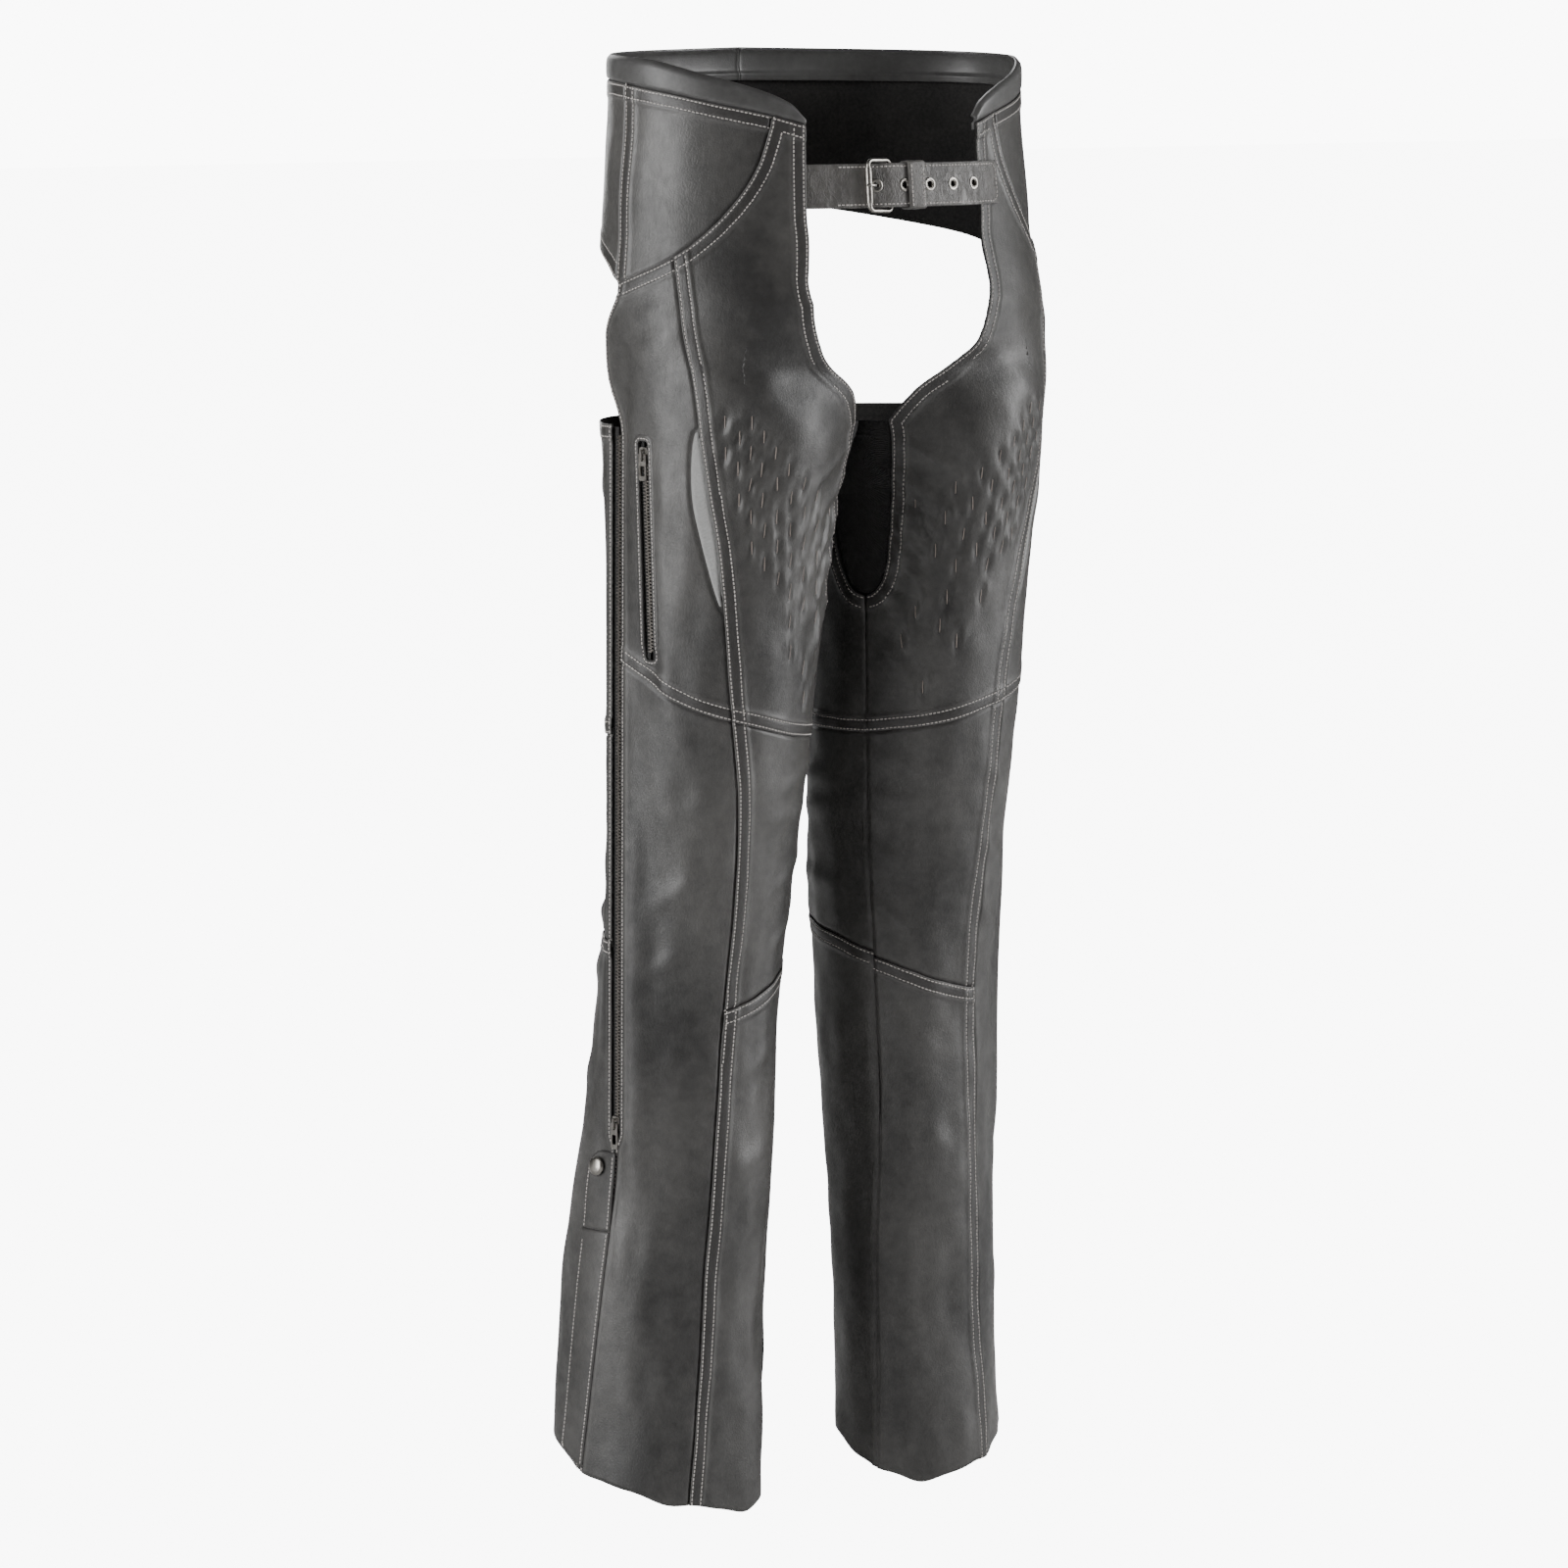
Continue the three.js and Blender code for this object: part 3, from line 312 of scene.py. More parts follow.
skin = sum_of(hide_grain, "MULTIPLY", fine.outputs[0], 0.25)
total = sum_of(hide_grain, "ADD", sum_of(hide_grain, "SUBTRACT", skin, pebble_height),
               sum_of(hide_grain, "MULTIPLY", line_depth, 9.0))
hide_grain.links.new(total, given.inputs["Height"])
hide_grain.links.new(sum_of(hide_grain, "MULTIPLY", line_depth, 11.0, True),
                     given.inputs["Tone"])

# cloudy dye: broad patches and finer mottling of the same colour
cloudy_dye, taken, given = node_group(
    "cloudy_dye", [("Vector", "NodeSocketVector", (0, 0, 0)), ("Patch", "NodeSocketFloat", 14.0),
                   ("Worn", "NodeSocketColor", (0.12, 0.12, 0.12, 1)),
                   ("Dyed", "NodeSocketColor", (0.05, 0.05, 0.05, 1))],
    [("Color", "NodeSocketColor"), ("Cloud", "NodeSocketFloat")])
tall = add_node(cloudy_dye, "Mapping", {"Vector": taken.outputs["Vector"],
                                        "Scale": (1.0, 1.0, 0.5)})
broad = texture(cloudy_dye, "TexNoise", taken.outputs["Patch"], tall.outputs[0], Detail=2.0)
mottle = texture(cloudy_dye, "TexNoise", 95, taken.outputs["Vector"], Detail=4.0, Roughness=0.6)
cloud = sum_of(cloudy_dye, "ADD", sum_of(cloudy_dye, "MULTIPLY", broad.outputs[0], 0.8),
               sum_of(cloudy_dye, "MULTIPLY", mottle.outputs[0], 0.35))
spread = add_node(cloudy_dye, "MapRange", {"Value": cloud, 1: 0.38, 2: 0.78, 3: 0.0, 4: 1.0})
dyed = add_node(cloudy_dye, "Mix", {0: spread.outputs[0], 6: taken.outputs["Dyed"],
                                    7: taken.outputs["Worn"]}, data_type="RGBA")
cloudy_dye.links.new(dyed.outputs[2], given.inputs["Color"])
cloudy_dye.links.new(spread.outputs[0], given.inputs["Cloud"])

# painted seam light: painted shade between two stitch rows and down in seam grooves, and a
# painted highlight on the crest of a seam and along cut edges
sewn_shade, taken, given = node_group(
    "sewn_shade", [("Color", "NodeSocketColor", (0.1, 0.1, 0.1, 1)),
                   ("Ridge", "NodeSocketFloat", 0.0), ("Between", "NodeSocketFloat", 0.0)],
    [("Color", "NodeSocketColor")])
# painted shade: a darker colour mixed in where the Between mask is high
painted_groove_shade = add_node(sewn_shade, "Mix", {6: taken.outputs["Color"], 7: (0.028, 0.026, 0.025, 1)},
                data_type="RGBA")
sewn_shade.links.new(sum_of(sewn_shade, "MULTIPLY", taken.outputs["Between"], 0.55),
                     painted_groove_shade.inputs[0])
# painted highlight: a paler colour mixed in where the Ridge mask is high
painted_crest_highlight = add_node(sewn_shade, "Mix", {6: painted_groove_shade.outputs[2], 7: (0.15, 0.146, 0.14, 1)},
                  data_type="RGBA")
sewn_shade.links.new(sum_of(sewn_shade, "MULTIPLY", taken.outputs["Ridge"], 0.45),
                     painted_crest_highlight.inputs[0])
sewn_shade.links.new(painted_crest_highlight.outputs[2], given.inputs["Color"])


def new_finish(name, **values):
    material = bpy.data.materials.new(name)
    material.use_nodes = True
    tree = material.node_tree
    shader = tree.nodes["Principled BSDF"]
    for socket, value in values.items():
        shader.inputs[socket.replace("_", " ")].default_value = value
    return material, tree, shader, add_node(tree, "TexCoord").outputs["Object"]


def bumped(tree, shader, height, distance, strength=1.0):
    bump = add_node(tree, "Bump", {"Height": height, "Distance": distance, "Strength": strength})
    tree.links.new(bump.outputs[0], shader.inputs["Normal"])


def hide_finish(name, worn, dyed_grey, patch=13.0, pebble=0.5, crease=0.5, gloss=0.46):
    material, tree, shader, where = new_finish(name, Specular_IOR_Level=0.55)
    grain = add_node(tree, "Group", node_tree=hide_grain)
    dye = add_node(tree, "Group", node_tree=cloudy_dye)
    seam = add_node(tree, "Group", node_tree=sewn_shade)
    for made in (grain, dye):
        tree.links.new(where, made.inputs["Vector"])
    grain.inputs["Pebble"].default_value = pebble
    grain.inputs["Crease"].default_value = crease
    dye.inputs["Patch"].default_value = patch
    dye.inputs["Worn"].default_value = (*worn, 1)
    dye.inputs["Dyed"].default_value = (*dyed_grey, 1)
    # the ridge and between attributes place the painted seam highlight and painted shade
    ridge = add_node(tree, "Attribute", attribute_name="ridge")
    between = add_node(tree, "Attribute", attribute_name="between")
    tree.links.new(ridge.outputs["Fac"], seam.inputs["Ridge"])
    tree.links.new(between.outputs["Fac"], seam.inputs["Between"])
    tree.links.new(dye.outputs["Color"], seam.inputs["Color"])
    tree.links.new(seam.outputs["Color"], shader.inputs["Base Color"])
    shine = add_node(tree, "MapRange", {"Value": dye.outputs["Cloud"], 3: gloss + 0.1,
                                        4: gloss - 0.04})
    rough = sum_of(tree, "ADD", shine.outputs[0],
                   sum_of(tree, "MULTIPLY", grain.outputs["Tone"], -0.07))
    tree.links.new(rough, shader.inputs["Roughness"])
    bumped(tree, shader, grain.outputs["Height"], 0.0002, 0.8)
    return material


garment_hide = hide_finish("garment_hide", (0.098, 0.095, 0.091), (0.026, 0.0253, 0.0245), 15.0,
                           0.45, 0.3, 0.40)
band_hide = hide_finish("band_hide", (0.125, 0.124, 0.122), (0.05, 0.049, 0.048), 7.0, 0.3, 0.08,
                        0.36)

flesh_side, tree, shader, where = new_finish("flesh_side", Roughness=0.92)
nap = texture(tree, "TexNoise", 420, where, Detail=6.0, Roughness=0.7)
patchy = texture(tree, "TexNoise", 28, where, Detail=3.0)
nap_tone = sum_of(tree, "ADD", sum_of(tree, "MULTIPLY", nap.outputs[0], 0.6),
                  sum_of(tree, "MULTIPLY", patchy.outputs[0], 0.4))
nap_colour = add_node(tree, "ValToRGB", {0: nap_tone})
nap_colour.color_ramp.elements[0].color = (0.010, 0.010, 0.010, 1)
nap_colour.color_ramp.elements[0].position = 0.3
nap_colour.color_ramp.elements[1].color = (0.045, 0.043, 0.041, 1)
nap_colour.color_ramp.elements[1].position = 0.72
tree.links.new(nap_colour.outputs[0], shader.inputs["Base Color"])
bumped(tree, shader, nap.outputs[0], 0.0006)

# ---------------------------------------------------------------- how the leather hangs
# Folds that every panel of a leg shares, so that they run on across the seams: a soft sway,
# drag lines from the crotch, creases behind the knee and shallow flutes above the hem.
# Nothing moves where a zip, the strap or the ankle flap holds the leather flat.
def sway(u, v, size, seed):
    """Smooth irregular waves of about the given size in millimetres, from -1 to 1."""
    turn = np.random.default_rng(seed)
    total = 0
    for _ in range(7):
        way, phase, k = turn.uniform(0, np.pi), turn.uniform(0, 7), turn.uniform(0.6, 1.5)
        total = total + np.sin(2 * np.pi * k * (u * np.cos(way) + v * np.sin(way)) / size + phase)
    return total / 3.6


# each drag line: angle and height at both ends, width and height in millimetres
DRAGS = [
    (-38, -190, -14, -216, 5, 1.6), (-44, -214, -16, -252, 6, 1.9),
    (-49, -240, -20, -288, 6, 2.0),
    (-50, -266, -26, -318, 6, 1.8), (-55, -300, -30, -352, 7, 1.8), (-58, -338, -34, -372, 6, 1.4),
    (-47, -228, -32, -244, 3, -1.1), (-52, -256, -35, -276, 3, -1.2),
    (-56, -290, -40, -312, 3, -1.1), (-38, -214, -36, -238, 2, 1.5),
    (-41, -226, -34, -262, 1.8, 1.5), (-36, -236, -29, -268, 2, -1.3),
    (-45, -250, -38, -282, 1.8, 1.5), (-33, -246, -26, -262, 2.4, 1.2),
    (-60, -428, -18, -446, 7, 1.5), (-60, -462, -10, -470, 8, 1.3), (-58, -498, -24, -520, 7, 1.6),
    (-56, -540, -28, -566, 6, 1.5), (14, -440, 52, -462, 9, 1.2), (20, -500, 64, -532, 9, 1.6),
    (26, -556, 66, -588, 8, 1.5), (58, -100, 84, -132, 9, 1.7), (62, -84, 78, -96, 6, 1.0),
    (40, -60, 30, -112, 10, 1.2), (16, -120, 34, -160, 9, 1.2), (100, -392, 150, -402, 9, 2.2),
    (98, -430, 160, -424, 10, 2.6), (96, -466, 170, -478, 9, 2.6), (96, -505, 190, -500, 10, 2.8),
    (94, -540, 180, -552, 9, 2.4), (104, -590, 200, -580, 10, 2.0), (200, -440, 280, -452, 9, 2.2),
    (210, -482, 290, -470, 9, 2.2), (200, -524, 290, -534, 9, 2.2), (110, -215, 150, -240, 10, 1.8),
    (150, -262, 200, -290, 11, 1.8), (210, -220, 250, -262, 10, 1.6), (-40, -640, -8, -664, 8, 1.3),
    (40, -650, 62, -690, 9, 1.3), (-36, -720, -6, -736, 9, 1.1), (100, -660, 160, -680, 11, 1.8)]


def hang(leg, angle, z):
    u, v = angle * MM_PER_DEGREE, z
    lift = 1.3 * sway(u, v * 0.45, 95, 3 + leg.side) + 0.55 * sway(u, v * 0.7, 38, 12 + leg.side)
    flute = ease(-z, 640, 960)
    lift = lift + 2.0 * flute * np.sin(np.radians(angle * 4.4) + 0.6 * np.sin(z / 60) + leg.side)
    behind = np.exp(-((angle - 170) / 75) ** 4) * np.exp(-((z + 490) / 95) ** 4)
    lift = lift + 1.5 * behind * np.sin(z / 7.5 + 1.4 * np.sin(u / 34))
    pinched = np.exp(-((angle + 45) / 13) ** 2) * np.exp(-((z + 262) / 62) ** 4)
    lift = lift + 0.9 * pinched * sway(u * 0.55 + v * 0.2, v, 15, 31)
    for a0, z0, a1, z1, width, height in DRAGS:
        for shift in (0, 360):
            along = np.array(((a1 - a0) * MM_PER_DEGREE, z1 - z0))
            at = np.stack(np.broadcast_arrays(u - (a0 + shift) * MM_PER_DEGREE, v - z0), axis=-1)
            share = np.clip((at @ along) / (along @ along), 0, 1)
            off = np.linalg.norm(at - share[..., None] * along, axis=-1)
            faded = np.sin(np.pi * (0.15 + 0.7 * share))
            lift = lift + height * np.exp(-(off / width) ** 2) * faded
    p = leg.point(angle, z)
    for zip_ in leg.zips:
        lift = lift * (1 - zip_.hold(p, z))
    lift = lift * (1 - np.exp(-(z / 34) ** 4) * (1 - ease(angle, 56, 76)))
    lift = lift * (1 - np.exp(-((z + 800) / 150) ** 6) * np.exp(-((angle - 80) / 21) ** 4))
    return lift * (1 - 0.7 * ease(z, 25, 60))


# ---------------------------------------------------------------- cutting and sewing a panel
# Each panel is cut to its own outline and lies on the block. Along a lapped seam its edge is
# turned under, which makes it stand up as far as the second stitch row; the panel below it
# runs on a few millimetres under the lap, so no light comes through a seam.
ROWS = {"lap": (1.9, 9.2), "turned": (2.0, 9.4), "zip": (2.1,)}
UNDER = {"tuck": 5.0, "lap": -0.3, "turned": 0.0, "inside": -0.1, "plain": -0.15, "cut": 0.0,
         "flush": 0.0}
SPACING = 3.0


def seam_relief(style, d):
    """Height of the leather at a distance in from a seam, and its ridge (painted highlight) and
    dark band (painted shade).
    """
    none = np.zeros_like(d)
    if style == "tuck":
        return -1.25 * (1 - ease(d, -0.4, 2.8)), none, none
    if style == "plain":
        # painted shade in the groove of a plain seam
        return -0.75 * np.exp(-(d / 1.5) ** 2), none, 0.5 * np.exp(-(d / 1.5) ** 2)
    if style == "cut":
        # painted highlight along a cut edge
        return none, 0.35 * np.exp(-(d / 0.8) ** 2), none
    reach = 5.0 if style == "zip" else 10.8
    raised = (0.45 if style == "zip" else 0.85) * (1 - ease(d, reach, reach + 3.0))
    rolled = -0.9 * np.clip(1 - d / 1.2, 0, 1) ** 2
    groove = sum(-0.42 * np.exp(-((d - row) / 0.75) ** 2) for row in ROWS[style])
    # ridge is a painted highlight on the crests; between is painted shade between the stitch rows
    ridge = np.exp(-((d - 0.7) / 0.6) ** 2) + 0.5 * np.exp(-((d - reach - 0.6) / 1.0) ** 2)
    between = none if style == "zip" else ease(d, 2.2, 3.2) * (1 - ease(d, 8.0, 9.0))
    return raised + rolled + groove, ridge, between


def spaced(step, near_start, near_end):
    """Shares along a side: close together near a sewn edge, wider in the middle."""
    length = np.concatenate([[0], np.cumsum(step)])
    full = length[-1]
    middle = (length[1:] + length[:-1]) / 2
    wide = np.full(len(middle), SPACING)
    for near, far in ((near_start, middle), (near_end, full - middle)):
        if near:
            wide = np.minimum(wide, SPACING * (0.36 + 0.64 * ease(far, 11.5, 20)))
    count = np.concatenate([[0], np.cumsum(step / wide)])
    wanted = np.linspace(0, count[-1], max(3, int(math.ceil(count[-1])) + 1))
    return np.interp(wanted, count, np.linspace(0, 1, len(count)))


def shade(made, smooth=True):
    made.data.polygons.foreach_set("use_smooth", np.full(len(made.data.polygons), smooth))


def mesh_piece(name, points, faces, finishes, face_finish=None):
    mesh = bpy.data.meshes.new(name)
    mesh.from_pydata(points.tolist() if hasattr(points, "tolist") else points, [], faces)
    piece = bpy.data.objects.new(name, mesh)
    bpy.context.scene.collection.objects.link(piece)
    for finish in finishes:
        mesh.materials.append(finish)
    if face_finish is not None:
        mesh.polygons.foreach_set("material_index", np.asarray(face_finish, np.int32))
    shade(piece)
    mesh.update()
    return piece


def grid_quads(rows, columns):
    at = np.arange(rows * columns).reshape(rows, columns)
    corners = (at[:-1, :-1], at[:-1, 1:], at[1:, 1:], at[1:, :-1])
    return np.stack([c.ravel() for c in corners], axis=1)


def closed_shell(name, outer, inner, side, finishes):
    """A thin closed piece between two grids of points; the second finish is on its back."""
    rows, columns = outer.shape[:2]
    count = rows * columns
    face = grid_quads(rows, columns)
    at = np.arange(count).reshape(rows, columns)
    loop = np.concatenate([at[0, :-1], at[:-1, -1], at[-1, :0:-1], at[:0:-1, 0]])
    after = np.roll(loop, -1)
    rim_quads = np.stack([after, loop, loop + count, after + count], axis=1)
    faces = np.concatenate([face, face[:, ::-1] + count, rim_quads])
    if side < 0:
        faces = faces[:, ::-1]
    points = np.concatenate([outer.reshape(-1, 3), inner.reshape(-1, 3)]) * MM
    kind = np.concatenate([np.zeros(len(face)), np.full(len(faces) - len(face), len(finishes) - 1)])
    return mesh_piece(name, points, faces.tolist(), finishes, kind)


def off_line(points, line):
    """Distance of each point from a line of closely spaced points."""
    flat = points.reshape(-1, 3).astype(np.float32)
    near = np.empty(len(flat), np.float32)
    for start in range(0, len(flat), 4000):
        part = flat[start:start + 4000]
        gap = part[:, None, :] - line[None].astype(np.float32)
        near[start:start + 4000] = np.sqrt((gap ** 2).sum(-1).min(1))
    return near.reshape(points.shape[:-1]).astype(float)


def evenly(points, step):
    """The same line with its points a fixed step apart."""
    length = np.concatenate([[0], np.cumsum(np.linalg.norm(np.diff(points, axis=0), axis=1))])
    wanted = np.arange(step / 2, length[-1], step)
    return np.stack([np.interp(wanted, length, points[:, i]) for i in range(points.shape[1])], 1)


STITCH_LONG = 0.0023
stitches = {}


def stitch_rows(leg, group, surface, a, z, inward, rows, pitch=3.1):
    """Lays stitch rows in from an edge given as angles and heights."""
    p = leg.point(a, z)
    run = unit(np.gradient(p, axis=0))
    normal = leg.normal(a, z)
    across = np.cross(normal, run)
    around, up = leg.point(a + 1, z) - p, leg.point(a, z + 1) - p
    flip = np.sign((across * (inward[0] * unit(around) + inward[1] * unit(up))).sum(-1))
    across = across * flip[:, None]
    basis = np.stack([around, up], axis=-1)
    move = np.einsum("nij,nj->ni", np.linalg.pinv(basis), across)
    edge = evenly(p, 1.0)
    for row in rows:
        aa, zz = a + move[:, 0] * row, z + move[:, 1] * row
        line = evenly(leg.point(aa, zz), pitch)
        keep = off_line(line, edge) > row - 0.45
        way = unit(np.gradient(line, axis=0))
        for at, along in zip(line[keep], way[keep]):
            spot = surface.find_nearest(Vector(at * MM), 0.006)
            if spot[0] is not None:
                stitches.setdefault(group, []).append(
                    (spot[0], Vector(along), spot[1], STITCH_LONG))


def cut_panel(leg, part, node, left, right, bottom, top, seams, thick=LEATHER, sunk=0.0,
              finishes=None, body="chaps", group=None, extra=None,
              loose=True):
    """Cuts one panel. Seams are the styles of its left, right, bottom and top edges."""
    finishes = finishes or [garment_hide, flesh_side]
    heights = np.arange(-1010.0, 115.0, 1.0)
    turns = np.arange(-100.0, 362.0, 0.25)
    lines = [left(heights), right(heights), bottom(turns), top(turns)]
    shown = [line.copy() for line in lines]
    for i, sign in ((0, -1), (1, 1)):
        under = UNDER.get(seams[i])
        under = -zip_allowance(heights) if under is None else under
        shown[i] = lines[i] + sign * under / leg.per_degree(lines[i], heights)
    shown[2] = lines[2] - UNDER[seams[2]]
    shown[3] = lines[3] + UNDER[seams[3]]

    def lay(s, t):
        ss, tt = np.meshgrid(s, t)
        low, high = shown[2].min(), shown[3].max()
        z = low + (high - low) * tt
        angle = None
        for _ in range(60):
            new = np.interp(z, heights, shown[0]) * (1 - ss) + np.interp(z, heights, shown[1]) * ss
            angle = new if angle is None else (angle + new) / 2
            z = (np.interp(angle, turns, shown[2]) * (1 - tt)
                 + np.interp(angle, turns, shown[3]) * tt)
        return angle, z

    trial = lay(np.linspace(0, 1, 70), np.linspace(0, 1, 70))
    p = leg.point(*trial)
    near = [style not in ("cut", "flush") for style in seams]
    s = spaced(np.linalg.norm(np.diff(p, axis=1), axis=2).max(0), near[0], near[1])
    t = spaced(np.linalg.norm(np.diff(p, axis=0), axis=2).max(1), near[2], near[3])
    angle, z = lay(s, t)
    base, normal = leg.point(angle, z), leg.normal(angle, z)
    lift, ridge, between = np.full(angle.shape, -float(sunk)), 0.0, 0.0
    if loose:
        lift = lift + hang(leg, angle, z)
    edges = []
    for i, style in enumerate(seams):
        if i < 2:
            zz = np.linspace(*(z[(0, -1), :][:, 0 if i == 0 else -1]), 700)
            aa = np.interp(zz, heights, lines[i])
            if style == "zip":
                aa = np.interp(zz, heights, shown[i])
            signed = (angle - np.interp(z, heights, lines[i])) * (1 if i == 0 else -1)
        else:
            aa = np.linspace(*(angle[0 if i == 2 else -1, (0, -1)]), 700)
            zz = np.interp(aa, turns, lines[i])
            signed = (z - np.interp(angle, turns, lines[i])) * (1 if i == 2 else -1)
        runs = [(style, aa, zz)]
        if style == "inside":
            upper = zz > THIGH
            runs = [("turned", aa[upper], zz[upper]), ("plain", aa[~upper], zz[~upper])]
        for kind, aa, zz in runs:
            if kind == "flush" or len(zz) < 5:
                continue
            edges.append((kind, aa, zz, ((1, 0), (-1, 0), (0, 1), (0, -1))[i]))
            line = evenly(leg.point(aa, zz), 1.0)
            d = off_line(base, line) * np.where(signed < 0, -1, 1)
            if kind == "zip":
                d = np.abs(d)
            height, crest, dark = seam_relief(kind, d)
            lift = lift + height
            ridge, between = np.maximum(ridge, crest), np.maximum(between, dark)
    if extra is not None:
        lift = lift + extra(angle, z)
    outer = base + normal * lift[..., None]
    inner = outer - normal * thick
    piece = closed_shell(part + "_" + leg.name, outer, inner, leg.side, finishes)
    # ridge and between carry the painted highlight and painted shade of the seams
    for key, value in (("ridge", ridge), ("between", between)):
        values = np.zeros(len(piece.data.vertices), np.float32)
        values[:angle.size] = np.broadcast_to(value, angle.shape).ravel()
        piece.data.attributes.new(key, "FLOAT", "POINT").data.foreach_set("value", values)
    across = np.linalg.norm(np.diff(base, axis=1), axis=2).sum(1).max() * MM
    down = np.linalg.norm(np.diff(base, axis=0), axis=2).sum(0).max() * MM
    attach(piece, body)
    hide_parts(node + "_" + leg.name)
    surface = BVHTree.FromPolygons((outer.reshape(-1, 3) * MM).tolist(),
                                   (grid_quads(*angle.shape)[:, ::leg.side]).tolist())
    for kind, aa, zz, inward in edges:
        if group and kind in ROWS:
            stitch_rows(leg, group, surface, aa, zz, inward, ROWS[kind])
    return piece, surface


def zip_allowance(z):
    return 0.4 + 5.1 * ease(z, ZIP_BOTTOM - 16, ZIP_BOTTOM - 1)


def level(height):
    return lambda angle: np.full(np.shape(angle), float(height))


# ---------------------------------------------------------------- front thigh panels
# The largest pieces of leather, from the waistband to above the knee. A patch of short
# embroidered tacks is worked through the leather and its lining, and each tack pulls a dimple.
COLUMN_TOPS = (-169, -180, -169, -180, -192, -203, -215, -226, -238)
COLUMN_GAP, TACK_GAP = 9.6, 23.2
INWARD, FORWARD = 0.84, 0.545


def tacks(leg):
    """Staggered columns straight down the front, stepping lower towards the inside."""
    chance = np.random.default_rng(40 + leg.side)
    turns = np.linspace(-60, 60, 481)
    for k, first in enumerate(COLUMN_TOPS):
        for z in np.arange(first, max(-194 - 34 * k, -382), -TACK_GAP):
            p = leg.point(turns, np.full(len(turns), z))
            reach = leg.side * -INWARD * p[:, 0] - FORWARD * p[:, 1]
            top = int(np.argmax(reach))
            a = float(np.interp(-67 + COLUMN_GAP * k, reach[top:][::-1], turns[top:][::-1]))
            missing = z < -290 and chance.uniform() < 0.3
            if a > float(gusset_front(z)) + 8 and not missing and a < leg.princess(z) - 9:
                yield (a + chance.uniform(-0.5, 0.5), z + chance.uniform(-1, 1),
                       chance.uniform(10, 12))


def dimples(leg):
    spots = list(tacks(leg))

    def lift(angle, z):
        total = np.zeros(np.shape(angle))
        for a, zz, _ in spots:
            du, dv = (angle - a) * MM_PER_DEGREE, z - zz
            total = total - 1.5 * np.exp(-(du / 2.4) ** 2 - (dv / 7.5) ** 2)
            total = total + 1.0 * np.exp(-((du - 4.8) / 3.0) ** 2 - ((dv - 5.0) / 6.0) ** 2)
            total = total + 0.6 * np.exp(-((du + 4.8) / 3.2) ** 2 - ((dv + 5.5) / 6.5) ** 2)
        return total
    return lift


def front_inner(z):
    return np.where(z > CROTCH, front_edge(z), np.where(z >= THIGH, gusset_front(z), inseam(z)))


def over_yoke(angle):
    return np.where(angle < 35.4, band_foot(angle), yoke_seam(angle))


for leg in legs:
    piece, surface = cut_panel(
        leg, "front_thigh", "front_thigh_panel", front_inner, leg.princess, knee_top_front,
        over_yoke, ("inside", "lap", "lap", "lap"), group="thigh_" + leg.name, extra=dimples(leg))
    for a, z, long in tacks(leg):
        at = leg.point(a, z)
        spot = surface.find_nearest(Vector(at * MM), 0.006)
        if spot[0] is not None:
            stitches.setdefault("tacks_" + leg.name, []).append(
                (spot[0] + spot[1] * 0.0006, Vector((0, 0, 1)), spot[1], long * MM))

# ---------------------------------------------------------------- hip yokes and side thighs
# The yoke curves from the waistband round to the hip. The side thigh panel is sewn over it,
# and on the wearer's right leg it has a slot for the pocket zip.
for leg in legs:
    cut_panel(leg, "hip_yoke_leather", "hip_yoke", level(35.4), level(88), yoke_seam, band_foot,
              ("tuck", "turned", "tuck", "lap"), group="thigh_" + leg.name)

    def side_front(z):
        inside = (z <= CROTCH) & (z >= THIGH)
        return leg.princess(z) + np.where(inside, inset_width(z), 0)

    def side_rear(z):
        return np.where(z > ZIP_TOP, rear_edge(z), leg.zip_angle(z))

    def under_pull(angle, z):
        """The leather is pressed down where the lowered pocket pull lies on it."""
        if leg is left_leg:
            return 0 * z
        return -1.7 * np.exp(-((angle - 74.3) / 6.5) ** 4) * np.exp(-((z + 358) / 17) ** 4)

    side_panel, _ = cut_panel(
        leg, "side_thigh", "side_thigh_panel", side_front, side_rear, knee_top_front, yoke_seam,
        ("tuck", "zip", "lap", "lap"), group="side_" + leg.name, extra=under_pull)
    if leg is right_leg:
        pocket_panel = side_panel

# ---------------------------------------------------------------- stretch inset and gusset
# A pale stretch crescent behind the front thigh lets the knee lift, and a black stretch
# gusset fills the inner thigh. Both are knitted cloth sewn under the leather round them.
knit, taken, given = node_group(
    "knit_ribs", [("Vector", "NodeSocketVector", (0, 0, 0)), ("Ribs", "NodeSocketFloat", 900.0)],
    [("Height", "NodeSocketFloat"), ("Tone", "NodeSocketFloat")])
ribs = add_node(knit, "TexWave", {"Vector": taken.outputs["Vector"],
                                  "Scale": taken.outputs["Ribs"], "Distortion": 0.6},
                bands_direction="DIAGONAL")
fuzz = texture(knit, "TexNoise", 700, taken.outputs["Vector"], Detail=4.0)
knit.links.new(sum_of(knit, "ADD", ribs.outputs[1], fuzz.outputs[0]), given.inputs["Height"])
knit.links.new(fuzz.outputs[0], given.inputs["Tone"])


def knit_finish(name, dark, pale, ribs_at):
    material, tree, shader, where = new_finish(name, Roughness=0.85, Sheen_Weight=0.15)
    made = add_node(tree, "Group", node_tree=knit)
    made.inputs["Ribs"].default_value = ribs_at
    tree.links.new(where, made.inputs["Vector"])
    colour = add_node(tree, "Mix", {0: made.outputs["Tone"], 6: (*dark, 1), 7: (*pale, 1)},
                      data_type="RGBA")
    tree.links.new(colour.outputs[2], shader.inputs["Base Color"])
    bumped(tree, shader, made.outputs["Height"], 0.0003)
    return material


pale_stretch = knit_finish("pale_stretch", (0.36, 0.36, 0.355), (0.50, 0.50, 0.49), 800.0)
black_stretch = knit_finish("black_stretch", (0.009, 0.009, 0.009), (0.022, 0.021, 0.02), 700.0)

